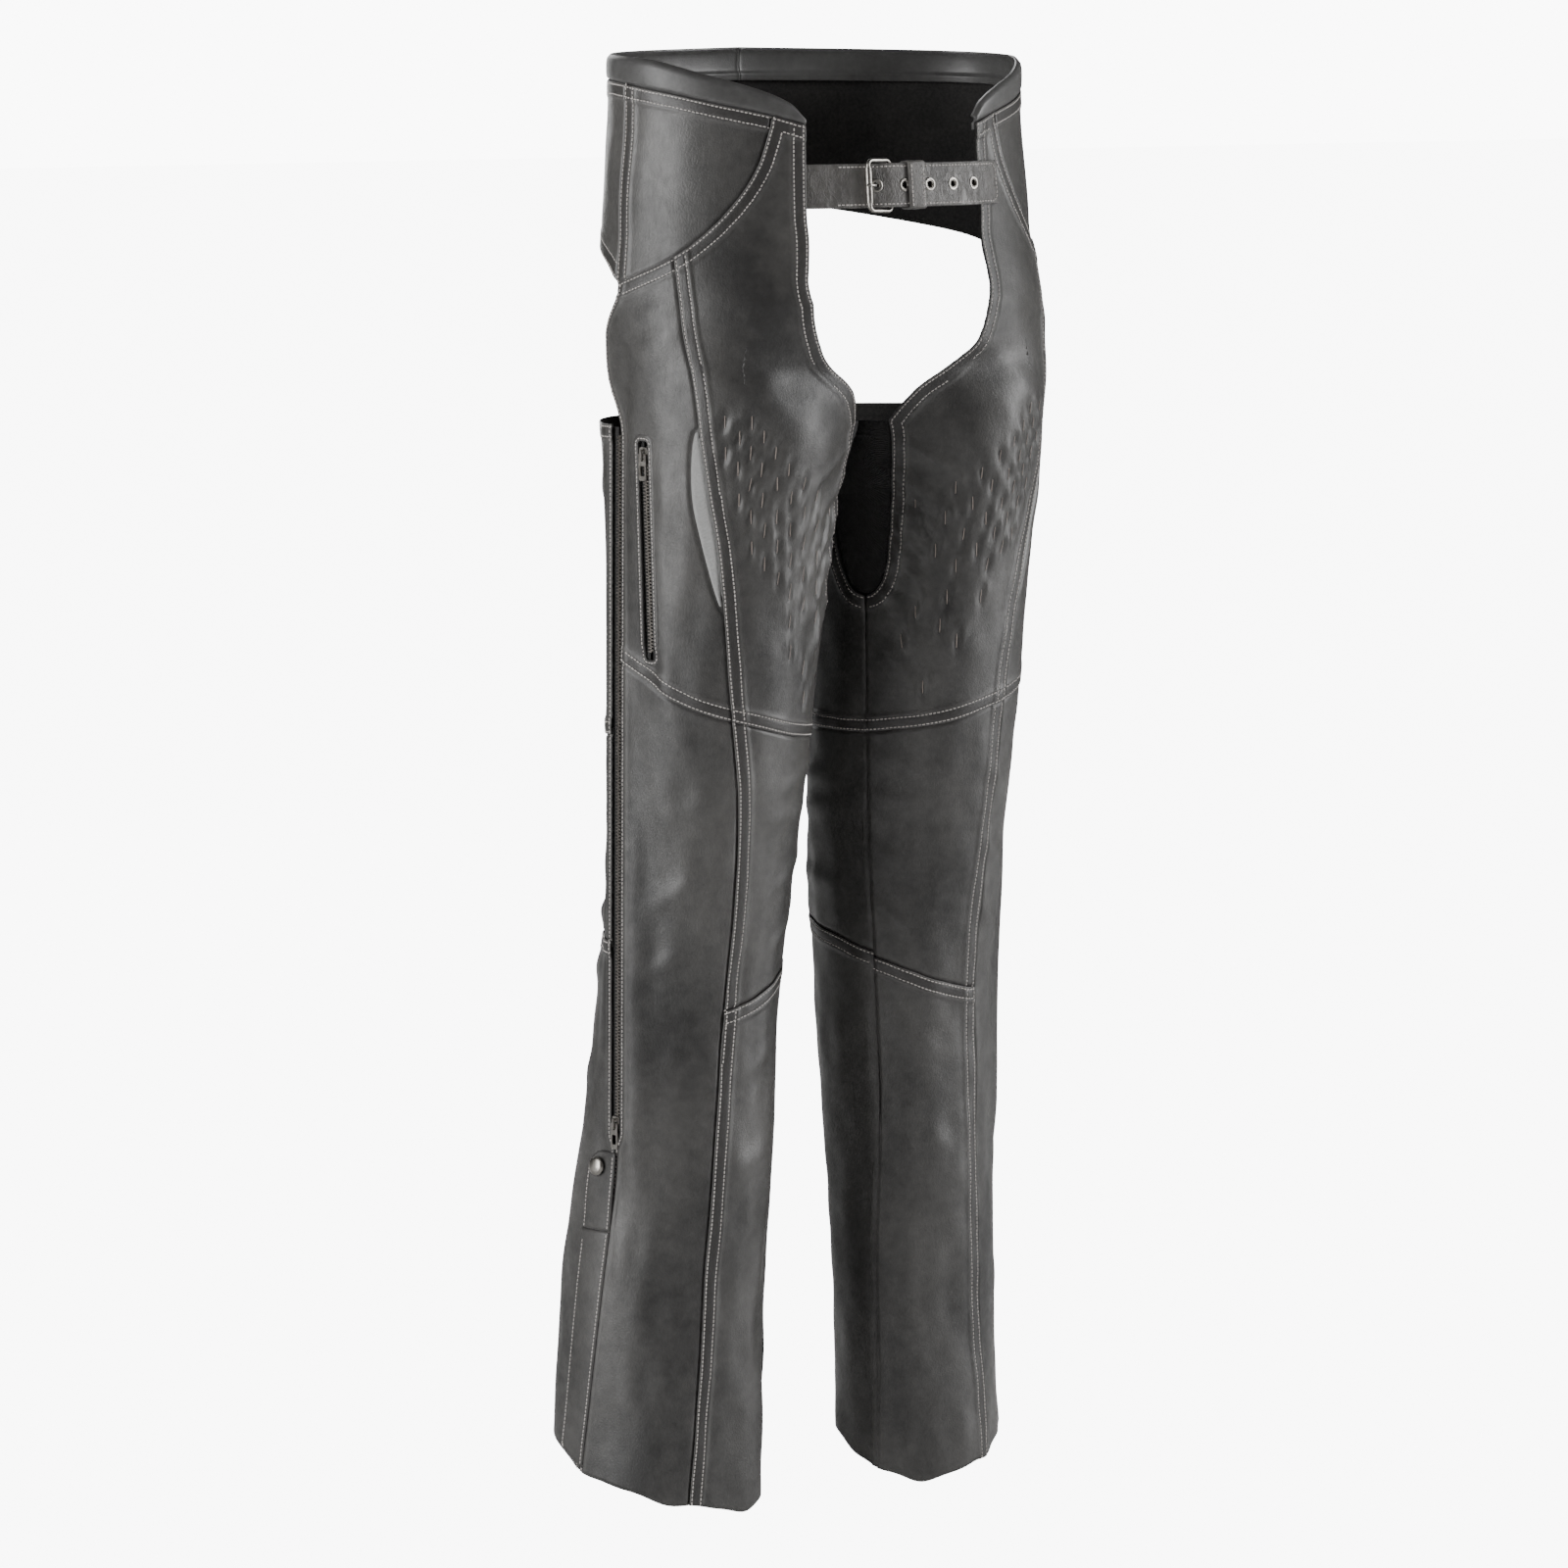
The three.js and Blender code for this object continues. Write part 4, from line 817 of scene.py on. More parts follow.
for leg in legs:
    def inset_rear(z):
        return leg.princess(z) + inset_width(z)

    cut_panel(leg, "crescent", "stretch_inset", leg.princess, inset_rear, level(THIGH),
              level(CROTCH), ("tuck", "tuck", "tuck", "tuck"), thick=1.0, sunk=0.5,
              finishes=[pale_stretch])
    cut_panel(leg, "inner_gusset", "thigh_gusset", gusset_back, gusset_front, level(THIGH),
              level(CROTCH), ("tuck", "tuck", "tuck", "turned"), thick=1.0, sunk=0.5,
              finishes=[black_stretch])

# ---------------------------------------------------------------- knee, shin and side leg panels
# The knee panel is let in between two curved seams. Below it the shin panel runs to the raw
# hem, and the long side panel runs from the thigh to the hem along the front of the zip.
for leg in legs:
    cut_panel(leg, "knee", "knee_panel", inseam, leg.princess, knee_foot_front, knee_top_front,
              ("tuck", "lap", "tuck", "tuck"), group="lower_" + leg.name)
    cut_panel(leg, "shin", "shin_panel", inseam, leg.princess, hem_line, knee_foot_front,
              ("tuck", "lap", "cut", "lap"), group="lower_" + leg.name)
    cut_panel(leg, "side_leg", "side_leg_panel", leg.princess, leg.zip_angle, hem_line,
              knee_top_front, ("tuck", "zip", "cut", "tuck"), group="lower_" + leg.name)

# ---------------------------------------------------------------- back panels
# Three pieces make the back of each leg, joined behind the thigh and below the knee, with a
# zip edge on the outside and a plain inside seam.
for leg in legs:
    def back_inner(z):
        return 360 + np.where(z >= THIGH, gusset_back(z), inseam(z))

    for part, low, high, styles in (
            ("back_thigh", knee_top_back, level(CROTCH), ("zip", "inside", "lap", "turned")),
            ("back_knee", knee_foot_back, knee_top_back, ("zip", "plain", "tuck", "tuck")),
            ("back_calf", hem_line, knee_foot_back, ("zip", "plain", "cut", "lap"))):
        cut_panel(leg, part, part + "_panel", leg.zip_angle, back_inner, low, high, styles,
                  group="back_" + leg.name)

# ---------------------------------------------------------------- linings
# A thin black lining is sewn behind each front thigh and covers the back of the embroidery.
# On the right leg the pocket bag hangs behind the side thigh from its zip.
for leg in legs:
    def lining_inner(z):
        return front_inner(z) + 5 / leg.per_degree(front_inner(z), z)

    def lining_outer(z):
        return leg.princess(z) - 4 / leg.per_degree(leg.princess(z), z)

    cut_panel(leg, "thigh_lining_cloth", "thigh_lining", lining_inner, lining_outer,
              lambda a: knee_top_front(a) + 5, level(CROTCH - 5), ("cut",) * 4, thick=0.6,
              sunk=4.0, finishes=[black_stretch])


def bag_front(z):
    return side_front(z) + 4 / right_leg.per_degree(side_front(z), z)


def bag_rear(z):
    return side_rear(z) - 12 / right_leg.per_degree(side_rear(z), z)


leg = right_leg
cut_panel(leg, "pocket_bag_cloth", "pocket_bag", bag_front, bag_rear,
          lambda a: knee_top_front(a) + 26, level(CROTCH - 3), ("cut",) * 4, thick=1.2, sunk=6.2,
          finishes=[black_stretch], loose=False)

# ---------------------------------------------------------------- back yokes and waistband
# The band is a smooth leather facing rolled over at the top, wide at the back and running out
# to nothing at the front edges. The back yoke joins the two legs behind.
for leg in legs:
    cut_panel(leg, "back_yoke_leather", "back_yoke", level(88), level(180), yoke_foot, band_foot,
              ("tuck", "plain", "turned", "lap"), group="side_" + leg.name)

    def roll(angle, z):
        share = (z - band_foot(angle)) / np.maximum(rim(angle) - band_foot(angle), 1)
        crown = 1.4 * np.sqrt(np.clip(1 - (2 * share - 1) ** 2, 0, 1))
        return 0.2 + crown - 1.6 * ease(share, 0.82, 1.0)

    cut_panel(leg, "waist_facing", "waistband", level(26), level(180), band_foot, rim,
              ("cut", "plain", "tuck", "cut"), thick=2.6, finishes=[band_hide, band_hide],
              extra=roll)

# ---------------------------------------------------------------- ankle flap
# Below each zip a strip of leather covers the end of the opening. Its top is a loose tab that
# closes on a snap; each has one row of stitches down both edges.
FLAP_WIDTH, TAB_TOP = 25.0, ZIP_BOTTOM - 17.0
TAB_FOOT = TAB_TOP - 60.0


def flap_front(z):
    return leg.zip_angle(z) - 3.5 / leg.per_degree(np.full(np.shape(z), 79.5), z)


def flap_rear(z):
    return leg.zip_angle(z) + FLAP_WIDTH / leg.per_degree(np.full(np.shape(z), 79.5), z)


def tab_corner(angle):
    """The tab's free upper corner is rounded."""
    middle = float(leg.zip_angle(np.array(TAB_TOP)))
    past = np.clip((angle - middle - 9.5) / 9.0, 0, 1.2)
    return TAB_TOP - 11 * past ** 3


for leg in legs:
    tab, tab_surface = cut_panel(
        leg, "snap_tab", "flap_tab", flap_front, flap_rear, level(TAB_FOOT), tab_corner,
        ("cut", "cut", "flush", "cut"), sunk=-2.6, body="ankle_tab_" + leg.name, loose=False,
        extra=lambda a, z: -1.6 * (1 - ease(z, TAB_FOOT, TAB_FOOT + 38)))
    strip, strip_surface = cut_panel(
        leg, "cover_strip", "flap_strip", flap_front, flap_rear, lambda a: hem_line(a) + 4,
        level(TAB_FOOT - 0.4), ("flush", "cut", "cut", "flush"), sunk=-0.9, thick=1.0)
    for surface, group, low, high in (
            (tab_surface, "tab_" + leg.name, TAB_FOOT + 1, TAB_TOP - 3),
            (strip_surface, "lower_" + leg.name, -962.0, TAB_FOOT - 3)):
        for line, inward in ((flap_front, (1, 0)), (flap_rear, (-1, 0))):
            z = np.linspace(low, high if line is flap_front else high - 7, 300)
            stitch_rows(leg, group, surface, line(z), z, inward, (2.6,))

# ---------------------------------------------------------------- aged nickel
# All the small metal is plated and tumbled: brighter and darker in random patches, with a
# brushed haze.
aged_nickel, tree, shader, where = new_finish("aged_nickel", Metallic=1.0)
haze = texture(tree, "TexNoise", 900, where, Detail=5.0, Roughness=0.7)
stain = texture(tree, "TexNoise", 190, where, Detail=3.0)
tone = add_node(tree, "Mix", {0: stain.outputs[0], 6: (0.17, 0.16, 0.145, 1),
                              7: (0.50, 0.48, 0.445, 1)}, data_type="RGBA")
tree.links.new(tone.outputs[2], shader.inputs["Base Color"])
tree.links.new(add_node(tree, "MapRange", {"Value": haze.outputs[0], 3: 0.20, 4: 0.42}).outputs[0],
               shader.inputs["Roughness"])
bumped(tree, shader, haze.outputs[0], 0.00006)


def finish_cad(node, finish):
    """Gives a CAD node its finish without touching its shape."""
    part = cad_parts[node]
    part.data.materials.clear()
    part.data.materials.append(finish)
    part.data.polygons.foreach_set("material_index", np.zeros(len(part.data.polygons), np.int32))


def primitive(kind, name, finish, **sizes):
    """A new primitive in edit mode, all of it selected."""
    bpy.ops.object.select_all(action="DESELECT")
    getattr(bpy.ops.mesh, "primitive_" + kind + "_add")(**sizes)
    made = bpy.context.object
    made.name = made.data.name = name
    made.data.materials.append(finish)
    bpy.ops.object.mode_set(mode="EDIT")
    return made


def with_modifier(made, kind, **settings):
    bpy.context.view_layer.objects.active = made
    added = made.modifiers.new(kind.lower(), kind)
    for key, value in settings.items():
        setattr(added, key, value)
    bpy.ops.object.modifier_apply(modifier=added.name)


def set_down(made, matrix=None):
    """Leaves edit mode and puts the piece's place in its mesh."""
    if bpy.context.object and bpy.context.object.mode == "EDIT":
        bpy.ops.object.mode_set(mode="OBJECT")
    bpy.context.view_layer.update()
    made.data.transform(made.matrix_world)
    made.matrix_world = Matrix.Identity(4)
    if matrix is not None:
        made.data.transform(matrix)
    made.data.update()
    return made


def copied(made, matrices, name):
    """One mesh holding a copy of the piece at each place."""
    points = np.array([v.co for v in made.data.vertices])
    faces = [tuple(f.vertices) for f in made.data.polygons]
    places, found = [], []
    for i, matrix in enumerate(matrices):
        m = np.array(matrix)
        places.append(points @ m[:3, :3].T + m[:3, 3])
        found += [tuple(v + i * len(points) for v in f) for f in faces]
    whole = mesh_piece(name, np.concatenate(places), found, list(made.data.materials))
    for f, smooth in zip(whole.data.polygons, [f.use_smooth for f in made.data.polygons]
                         * len(matrices)):
        f.use_smooth = smooth
    return whole


# ---------------------------------------------------------------- side zips and pocket zip
# Metal zips on black woven tape. Each tooth is a small stamped block, the two sides meshing
# half a pitch apart. The side zips are closed with the slider at the ankle, and the pocket
# zip with its slider at the top.
CHAIN_MIDDLE = -2.7
TOOTH_PITCH = 2.5

woven_tape, tree, shader, where = new_finish("woven_tape", Roughness=0.9, Sheen_Weight=0.1)
across_tape = texture(tree, "TexWave", 1150, where, bands_direction="Z", Distortion=0.4)
yarn = texture(tree, "TexNoise", 650, where, Detail=4.0)
tape_tone = add_node(tree, "Mix", {0: yarn.outputs[0], 6: (0.008, 0.008, 0.008, 1),
                                   7: (0.03, 0.029, 0.028, 1)}, data_type="RGBA")
tree.links.new(tape_tone.outputs[2], shader.inputs["Base Color"])
bumped(tree, shader, across_tape.outputs[1], 0.0002)

zip_metal, tree, shader, where = new_finish("zip_metal", Metallic=1.0, Roughness=0.38)
tarnish = texture(tree, "TexNoise", 260, where, Detail=3.0)
tooth_tone = add_node(tree, "Mix", {0: tarnish.outputs[0], 6: (0.12, 0.11, 0.10, 1),
                                    7: (0.40, 0.37, 0.34, 1)}, data_type="RGBA")
tree.links.new(tooth_tone.outputs[2], shader.inputs["Base Color"])

tooth = primitive("cube", "tooth", zip_metal, size=1)
bpy.ops.transform.resize(value=(3.5 * MM, 1.32 * MM, 2.1 * MM))
bpy.ops.mesh.select_all(action="DESELECT")
body = bmesh.from_edit_mesh(tooth.data)
for face in body.faces:
    face.select = face.normal.x < -0.9
bmesh.update_edit_mesh(tooth.data)
bpy.ops.mesh.inset(thickness=0.3 * MM)
bpy.ops.transform.resize(value=(1, 0.62, 0.8))
bpy.ops.mesh.select_all(action="SELECT")
bpy.ops.transform.translate(value=(1.05 * MM, 0, CHAIN_MIDDLE * MM))
set_down(tooth)
with_modifier(tooth, "BEVEL", width=0.22 * MM, segments=1)


def zip_chain(zip_, name, node, start, end):
    places = []
    for i in range(int((end - start) / TOOTH_PITCH)):
        at = zip_.matrix(start + (i + 0.5) * TOOTH_PITCH)
        half = zip_.matrix(start + (i + 1.0) * TOOTH_PITCH)
        places += [at, half @ Matrix.Rotation(math.pi, 4, "Z")]
    chain = copied(tooth, places, name)
    shade(chain, False)
    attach(chain, "chaps")
    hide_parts(node)


def zip_tape(zip_, name, node):
    """Two woven strips, one each side of the zip line."""
    parts = []
    for way in (-1, 1):
        strip = primitive("grid", name + "_strip", woven_tape, x_subdivisions=8,
                          y_subdivisions=120, size=1)
        bpy.ops.transform.resize(value=(10.5 * MM, (zip_.length + 9) * MM, 1))
        bpy.ops.transform.translate(value=(way * 6.6 * MM, -zip_.length / 2 * MM,
                                           (CHAIN_MIDDLE - 0.3) * MM))
        set_down(strip, zip_.matrix(0))
        with_modifier(strip, "SOLIDIFY", thickness=0.6 * MM, offset=0)
        parts.append(strip)
    bpy.ops.object.select_all(action="DESELECT")
    for strip in parts:
        strip.select_set(True)
    bpy.context.view_layer.objects.active = parts[0]
    bpy.ops.object.join()
    tape = parts[0]
    tape.name = name
    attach(tape, "chaps")
    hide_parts(node)


for leg in legs:
    zip_ = leg.zips[0]
    name = "side_zip_%s_" + leg.name
    slider_at = zip_.length - 5.25
    zip_chain(zip_, name % "chain", name % "teeth", 0.5, slider_at + 2.0)
    zip_tape(zip_, name % "woven", name % "tape")
    finish_cad(name % "slider", aged_nickel)
    finish_cad(name % "pull", aged_nickel)
pocket = right_leg.zips[1]
zip_chain(pocket, "pocket_zip_chain_right", "pocket_zip_teeth_right", 8.0, pocket.length - 1)
zip_tape(pocket, "pocket_zip_woven_right", "pocket_zip_tape_right")
finish_cad("pocket_zip_slider_right", aged_nickel)
finish_cad("pocket_zip_pull_right", aged_nickel)
bpy.data.objects.remove(tooth)

# the slot for the pocket zip is cut through the side thigh panel
knife = primitive("cube", "slot_knife", flesh_side, size=1)
bpy.ops.transform.resize(value=(13.4 * MM, 168 * MM, 20 * MM))
bpy.ops.mesh.select_all(action="SELECT")
bpy.ops.transform.translate(value=(0, -pocket.length / 2 * MM, 0))
set_down(knife, pocket.matrix(0))
with_modifier(knife, "BEVEL", width=3.5 * MM, segments=5, limit_method="ANGLE")
with_modifier(pocket_panel, "BOOLEAN", operation="DIFFERENCE", object=knife, solver="EXACT")
bpy.data.objects.remove(knife)


def rounded_path(half_wide, half_long, radius):
    """Points round a rounded rectangle, and the outward direction at each."""
    points, outward = [], []
    for cx, cy, start in ((1, 1, 0), (-1, 1, 90), (-1, -1, 180), (1, -1, 270)):
        middle = np.array((cx * (half_wide - radius), cy * (half_long - radius)))
        for turn in np.radians(np.linspace(start, start + 90, 9)):
            way = np.array((math.cos(turn), math.sin(turn)))
            points.append(middle + radius * way)
            outward.append(way)
    return np.array(points), np.array(outward)


def filled(points, outward, step):
    """The same closed path with points no further apart than a step."""
    made, ways = [], []
    for i in range(len(points)):
        j = (i + 1) % len(points)
        count = max(1, int(np.linalg.norm(points[j] - points[i]) / step))
        for t in np.arange(count) / count:
            made.append(points[i] * (1 - t) + points[j] * t)
            ways.append(unit(outward[i] * (1 - t) + outward[j] * t))
    return np.array(made), np.array(ways)


# the welt is a rolled edge round the slot, pressed down at its foot where the pull lies
WELT_HALF_WIDE, WELT_HALF_LONG, WELT_CORNER = 4.7, 81.0, 2.5
WELT_ROW, WELT_ROW_HIGH = 2.2, 0.45


def pressed_foot(y):
    return 1.4 * ease(-y, 68, 77)


path, ways = filled(*rounded_path(WELT_HALF_WIDE, WELT_HALF_LONG, WELT_CORNER), 2.0)
profile = [(0.3, -2.3), (0.0, -0.6), (0.2, 0.25), (0.7, 0.7), (1.5, 0.75), (2.2, 0.45),
           (2.9, 0.75), (3.7, 0.6), (4.5, 0.2), (5.4, -0.15), (5.5, -0.6)]
frame_at = np.array(pocket.matrix(pocket.length / 2))
welt_points = np.array([[(*(p + w * off), high - pressed_foot(p[1]))
                         for off, high in profile] for p, w in zip(path, ways)])
count, n = len(path), len(profile)
quads = []
for i in range(count):
    for j in range(n):
        a, b = (i + 1) % count, (j + 1) % n
        quads.append((i * n + j, a * n + j, a * n + b, i * n + b))
welt = mesh_piece("pocket_welt_right", (welt_points.reshape(-1, 3) * MM) @ frame_at[:3, :3].T
                  + frame_at[:3, 3], quads, [garment_hide])
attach(welt, "chaps")
ring, _ = filled(path + ways * WELT_ROW, ways, 1.0)
lap = evenly(np.column_stack([ring, np.full(len(ring), WELT_ROW_HIGH)]), 3.0)
along = unit(np.gradient(lap, axis=0))
lap[:, 2] -= pressed_foot(lap[:, 1])
for p, w in zip(lap, along):
    at = frame_at[:3, :3] @ (p * MM) + frame_at[:3, 3]
    stitches.setdefault("side_right", []).append(
        (Vector(at), Vector(frame_at[:3, :3] @ w), Vector(frame_at[:3, 2]), STITCH_LONG))

# ---------------------------------------------------------------- snaps
# Each ankle tab closes with a round snap: a low domed cap on the tab over a stud in the panel
# behind it.
CAP_RADIUS = 7.2
for leg in legs:
    z = TAB_TOP - 12
    angle = float(leg.zip_angle(np.array(z)) * 0.45 + flap_rear(np.array(z)) * 0.55)
    low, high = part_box("snap_cap_" + leg.name)
    out = Vector(leg.normal(angle, z))
    turned = out.to_track_quat("Z", "Y").to_matrix().to_4x4()
    cap = primitive("uv_sphere", "snap_dome_" + leg.name, aged_nickel, segments=36, ring_count=18,
                    radius=CAP_RADIUS * MM)
    bpy.ops.mesh.select_all(action="SELECT")
    bpy.ops.mesh.bisect(plane_co=(0, 0, 0), plane_no=(0, 0, 1), clear_inner=True, use_fill=True)
    bpy.ops.mesh.select_all(action="SELECT")
    bpy.ops.transform.resize(value=(1, 1, 0.3))
    bpy.ops.mesh.select_all(action="DESELECT")
    body = bmesh.from_edit_mesh(cap.data)
    for vert in body.verts:
        if vert.co.xy.length > (CAP_RADIUS - 1) * MM:
            vert.co.z = max(vert.co.z - 0.25 * MM, 0)
    bmesh.update_edit_mesh(cap.data)
    p = Vector(leg.point(angle, z)) * MM + out * 2.7 * MM
    set_down(cap, Matrix.Translation(p) @ turned)
    bpy.ops.object.select_all(action="DESELECT")
    cap.select_set(True)
    bpy.context.view_layer.objects.active = cap
    bpy.ops.object.shade_smooth_by_angle(angle=math.radians(35))
    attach(cap, "ankle_tab_" + leg.name)
    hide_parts("snap_cap_" + leg.name)
    finish_cad("snap_stud_" + leg.name, aged_nickel)

# ---------------------------------------------------------------- front strap
# A 32 mm strap sewn under the right front panel passes over the buckle and lies on the left
# one, with five eyelets. A shorter strap from the left side holds the buckle. Places along
# them are millimetres round the waist from the middle of the front, to the wearer's left.
STRAP_START, STRAP_TIP, STRAP_WIDE, STRAP_THICK = -112, 97, 32, 3
HOLE_PITCH, HOLE_COUNT = 22.5, 5
WIRE_RADIUS, ROLLER_RADIUS, PRONG_RADIUS, BUCKLE_HALF_HIGH = 1.6, 2.5, 0.95, 20
REACH = np.linspace(0, 80, 41)
ring_points = left_leg.point(REACH, np.zeros(41))
RUN = np.concatenate([[0], np.cumsum(np.linalg.norm(np.diff(ring_points, axis=0), axis=1))])
strap_lift = smooth_line((-112, -4.75), (-80, -4.75), (-52, -4.1), (-29.5, -2.7), (-8, 0.9),
                         (20, 0.9), (70, 0.45))
HEEL_AT, ROLLER_AT, HEEL_LIFT = -8.0, -29.5, -3.05


def on_waist(s, lift, z):
    """Points at a distance round the front of the waist, lifted off the leather."""
    s, z = np.asarray(s, float), np.asarray(z, float)
    angle = np.interp(np.abs(s), RUN, REACH)
    p = left_leg.point(angle, z) + left_leg.normal(angle, z) * np.asarray(lift, float)[..., None]
    p[..., 0] = np.where(s < 0, -p[..., 0], p[..., 0])
    return p


def waist_frame(s, lift):
    out = unit(on_waist(s, 1.0, 0.0) - on_waist(s, 0.0, 0.0))
    up = on_waist(s, 0.0, 5.0) - on_waist(s, 0.0, -5.0)
    up = unit(up - out * (up @ out))
    turned = Matrix((np.cross(up, out), up, out)).transposed().to_4x4()
    return Matrix.Translation(Vector(on_waist(s, float(lift), 0.0)) * MM) @ turned


def bend_to_waist(made, lift_at):
    points = np.array([v.co for v in made.data.vertices]) / MM
    lift = lift_at(points[:, 0]) + points[:, 2]
    bent = on_waist(points[:, 0], lift, points[:, 1]) * MM
    made.data.vertices.foreach_set("co", bent.astype(np.float32).ravel())
    made.data.update()


strap_hide = hide_finish("strap_hide", (0.15, 0.143, 0.135), (0.05, 0.047, 0.044), 30.0, 0.5, 1.2,
                         0.42)


def cut_strap(name, start, end, width, thick, node, holes=(), tip=0.0):
    strap = primitive("cube", name, strap_hide, size=1)
    bpy.ops.transform.resize(value=((end - start) * MM, width * MM, thick * MM))
    bpy.ops.transform.translate(value=((start + end) / 2 * MM, 0, thick / 2 * MM))
    set_down(strap)
    if tip:
        bpy.ops.object.mode_set(mode="EDIT")
        bpy.ops.mesh.select_all(action="DESELECT")
        body = bmesh.from_edit_mesh(strap.data)
        for edge in body.edges:
            a, b = edge.verts
            edge.select = min(a.co.x, b.co.x) > (end - 1) * MM and abs(a.co.z - b.co.z) > 1e-5
        bmesh.update_edit_mesh(strap.data)
        bpy.ops.mesh.bevel(offset=tip * MM, segments=4)
        bpy.ops.object.mode_set(mode="OBJECT")
    with_modifier(strap, "BEVEL", width=0.8 * MM, segments=3, limit_method="ANGLE",
                  angle_limit=math.radians(50))
    bpy.ops.object.mode_set(mode="EDIT")
    for i in range(int((end - start) / 3)):
        bpy.ops.mesh.select_all(action="SELECT")
        bpy.ops.mesh.bisect(plane_co=((start + 3 * i + 1.5) * MM, 0, 0), plane_no=(1, 0, 0))
    for y in np.arange(-width / 2 + 4, width / 2 - 3, 4):
        bpy.ops.mesh.select_all(action="SELECT")
        bpy.ops.mesh.bisect(plane_co=(0, y * MM, 0), plane_no=(0, 1, 0))
    bpy.ops.object.mode_set(mode="OBJECT")
    for s in holes:
        punch = primitive("cylinder", "punch", strap_hide, vertices=20, radius=3.3 * MM,
                          depth=20 * MM, location=(s * MM, 0, 0))
        set_down(punch)
        with_modifier(strap, "BOOLEAN", operation="DIFFERENCE", object=punch, solver="EXACT")
        bpy.data.objects.remove(punch)
    shade(strap)
    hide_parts(node)
    return strap


def strap_stitches(group, line, lift_at, thick, pitch=3.2):
    """Stitches along a line of places on a strap, given as length and height."""
    lap = evenly(np.asarray(line, float), pitch)
    way = unit(np.gradient(lap, axis=0))
    p = on_waist(lap[:, 0], lift_at(lap[:, 0]) + thick, lap[:, 1])
    q = on_waist(lap[:, 0] + way[:, 0], lift_at(lap[:, 0] + way[:, 0]) + thick,
                 lap[:, 1] + way[:, 1])
    r = on_waist(lap[:, 0], lift_at(lap[:, 0]) + thick + 1, lap[:, 1])
    for a, b, c in zip(p, q, r):
        stitches.setdefault(group, []).append(
            (Vector(a * MM), Vector(unit(b - a)), Vector(unit(c - a)), STITCH_LONG))


eyelets_at = [(i - 1) * HOLE_PITCH for i in range(HOLE_COUNT)]
belt = cut_strap("front_strap", STRAP_START, STRAP_TIP, STRAP_WIDE, STRAP_THICK, "belt_strap",
                 eyelets_at, 6)
bend_to_waist(belt, strap_lift)
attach(belt, "chaps")
strap_stitches("strap", [(-52, 13.6), (90.5, 13.6), (94.4, 9.5), (94.4, -9.5), (90.5, -13.6),
                         (-52, -13.6)], strap_lift, 3.0)
back_strap = cut_strap("buckle_holder", -9.5, 118, 26, 2.6, "buckle_strap")
bend_to_waist(back_strap, lambda s: -4.35 + 0 * s)
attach(back_strap, "chaps")

# the holder folds round the buckle's heel bar in two loops, one each side of the prong
fold_at = waist_frame(HEEL_AT, HEEL_LIFT)
for y in (7.4, -7.4):
    fold = primitive("cylinder", "fold", strap_hide, vertices=28, radius=3.3 * MM,
                     depth=11.2 * MM, end_fill_type="NOTHING", location=(0, y * MM, 0),
                     rotation=(math.pi / 2, 0, 0))
    set_down(fold, fold_at)
    with_modifier(fold, "SOLIDIFY", thickness=1.35 * MM, offset=-1)
    with_modifier(fold, "BEVEL", width=0.35 * MM, segments=2, limit_method="ANGLE")
    shade(fold)
    fold.name = "holder_fold_" + ("upper" if y > 0 else "lower")
    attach(fold, "chaps")

# ---------------------------------------------------------------- eyelets and buckle
# Rolled metal eyelets line the holes. The buckle is bent from round wire with a roller on its
# outer bar, and the prong turns on the heel bar and lies through the first eyelet.
ringlet = primitive("torus", "ringlet", aged_nickel, major_radius=3.9 * MM, minor_radius=1.15 * MM,
                    major_segments=32, minor_segments=10)
bpy.ops.transform.resize(value=(1, 1, 0.42))
set_down(ringlet)
barrel = primitive("cylinder", "barrel", aged_nickel, vertices=32, radius=2.75 * MM,
                   depth=3.6 * MM, end_fill_type="NOTHING")
set_down(barrel)
with_modifier(barrel, "SOLIDIFY", thickness=0.3 * MM, offset=-1)
for i, s in enumerate(eyelets_at):
    tilt = math.atan(float(strap_lift(s + 3) - strap_lift(s - 3)) / 6)
    at = waist_frame(s, float(strap_lift(s)) + 1.5) @ Matrix.Rotation(-tilt, 4, "Y")
    rings = [at @ Matrix.Translation((0, 0, h * MM)) for h in (1.5, -1.5)]
    face = copied(ringlet, rings, "eyelet_ring_%d" % (i + 1))
    tube = copied(barrel, [at], "eyelet_barrel_%d" % (i + 1))
    for made in (face, tube):
        shade(made)
        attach(made, "chaps")
    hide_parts("belt_eyelet_%d" % (i + 1))
for made in (ringlet, barrel):
    bpy.data.objects.remove(made)

CLEAR = 0.3
roller_lift = float(strap_lift(ROLLER_AT)) + STRAP_THICK + CLEAR + ROLLER_RADIUS
heel = on_waist(HEEL_AT, HEEL_LIFT, 0.0)
outer = on_waist(ROLLER_AT, roller_lift, 0.0)
up = unit(on_waist(HEEL_AT, 0.0, 5.0) - on_waist(HEEL_AT, 0.0, -5.0))
across = outer - heel
across = across - up * (across @ up)
wide = float(np.linalg.norm(across))
across = unit(across)
buckle_at = Matrix.Translation(Vector(heel) * MM) @ Matrix(
    (across, up, np.cross(across, up))).transposed().to_4x4()


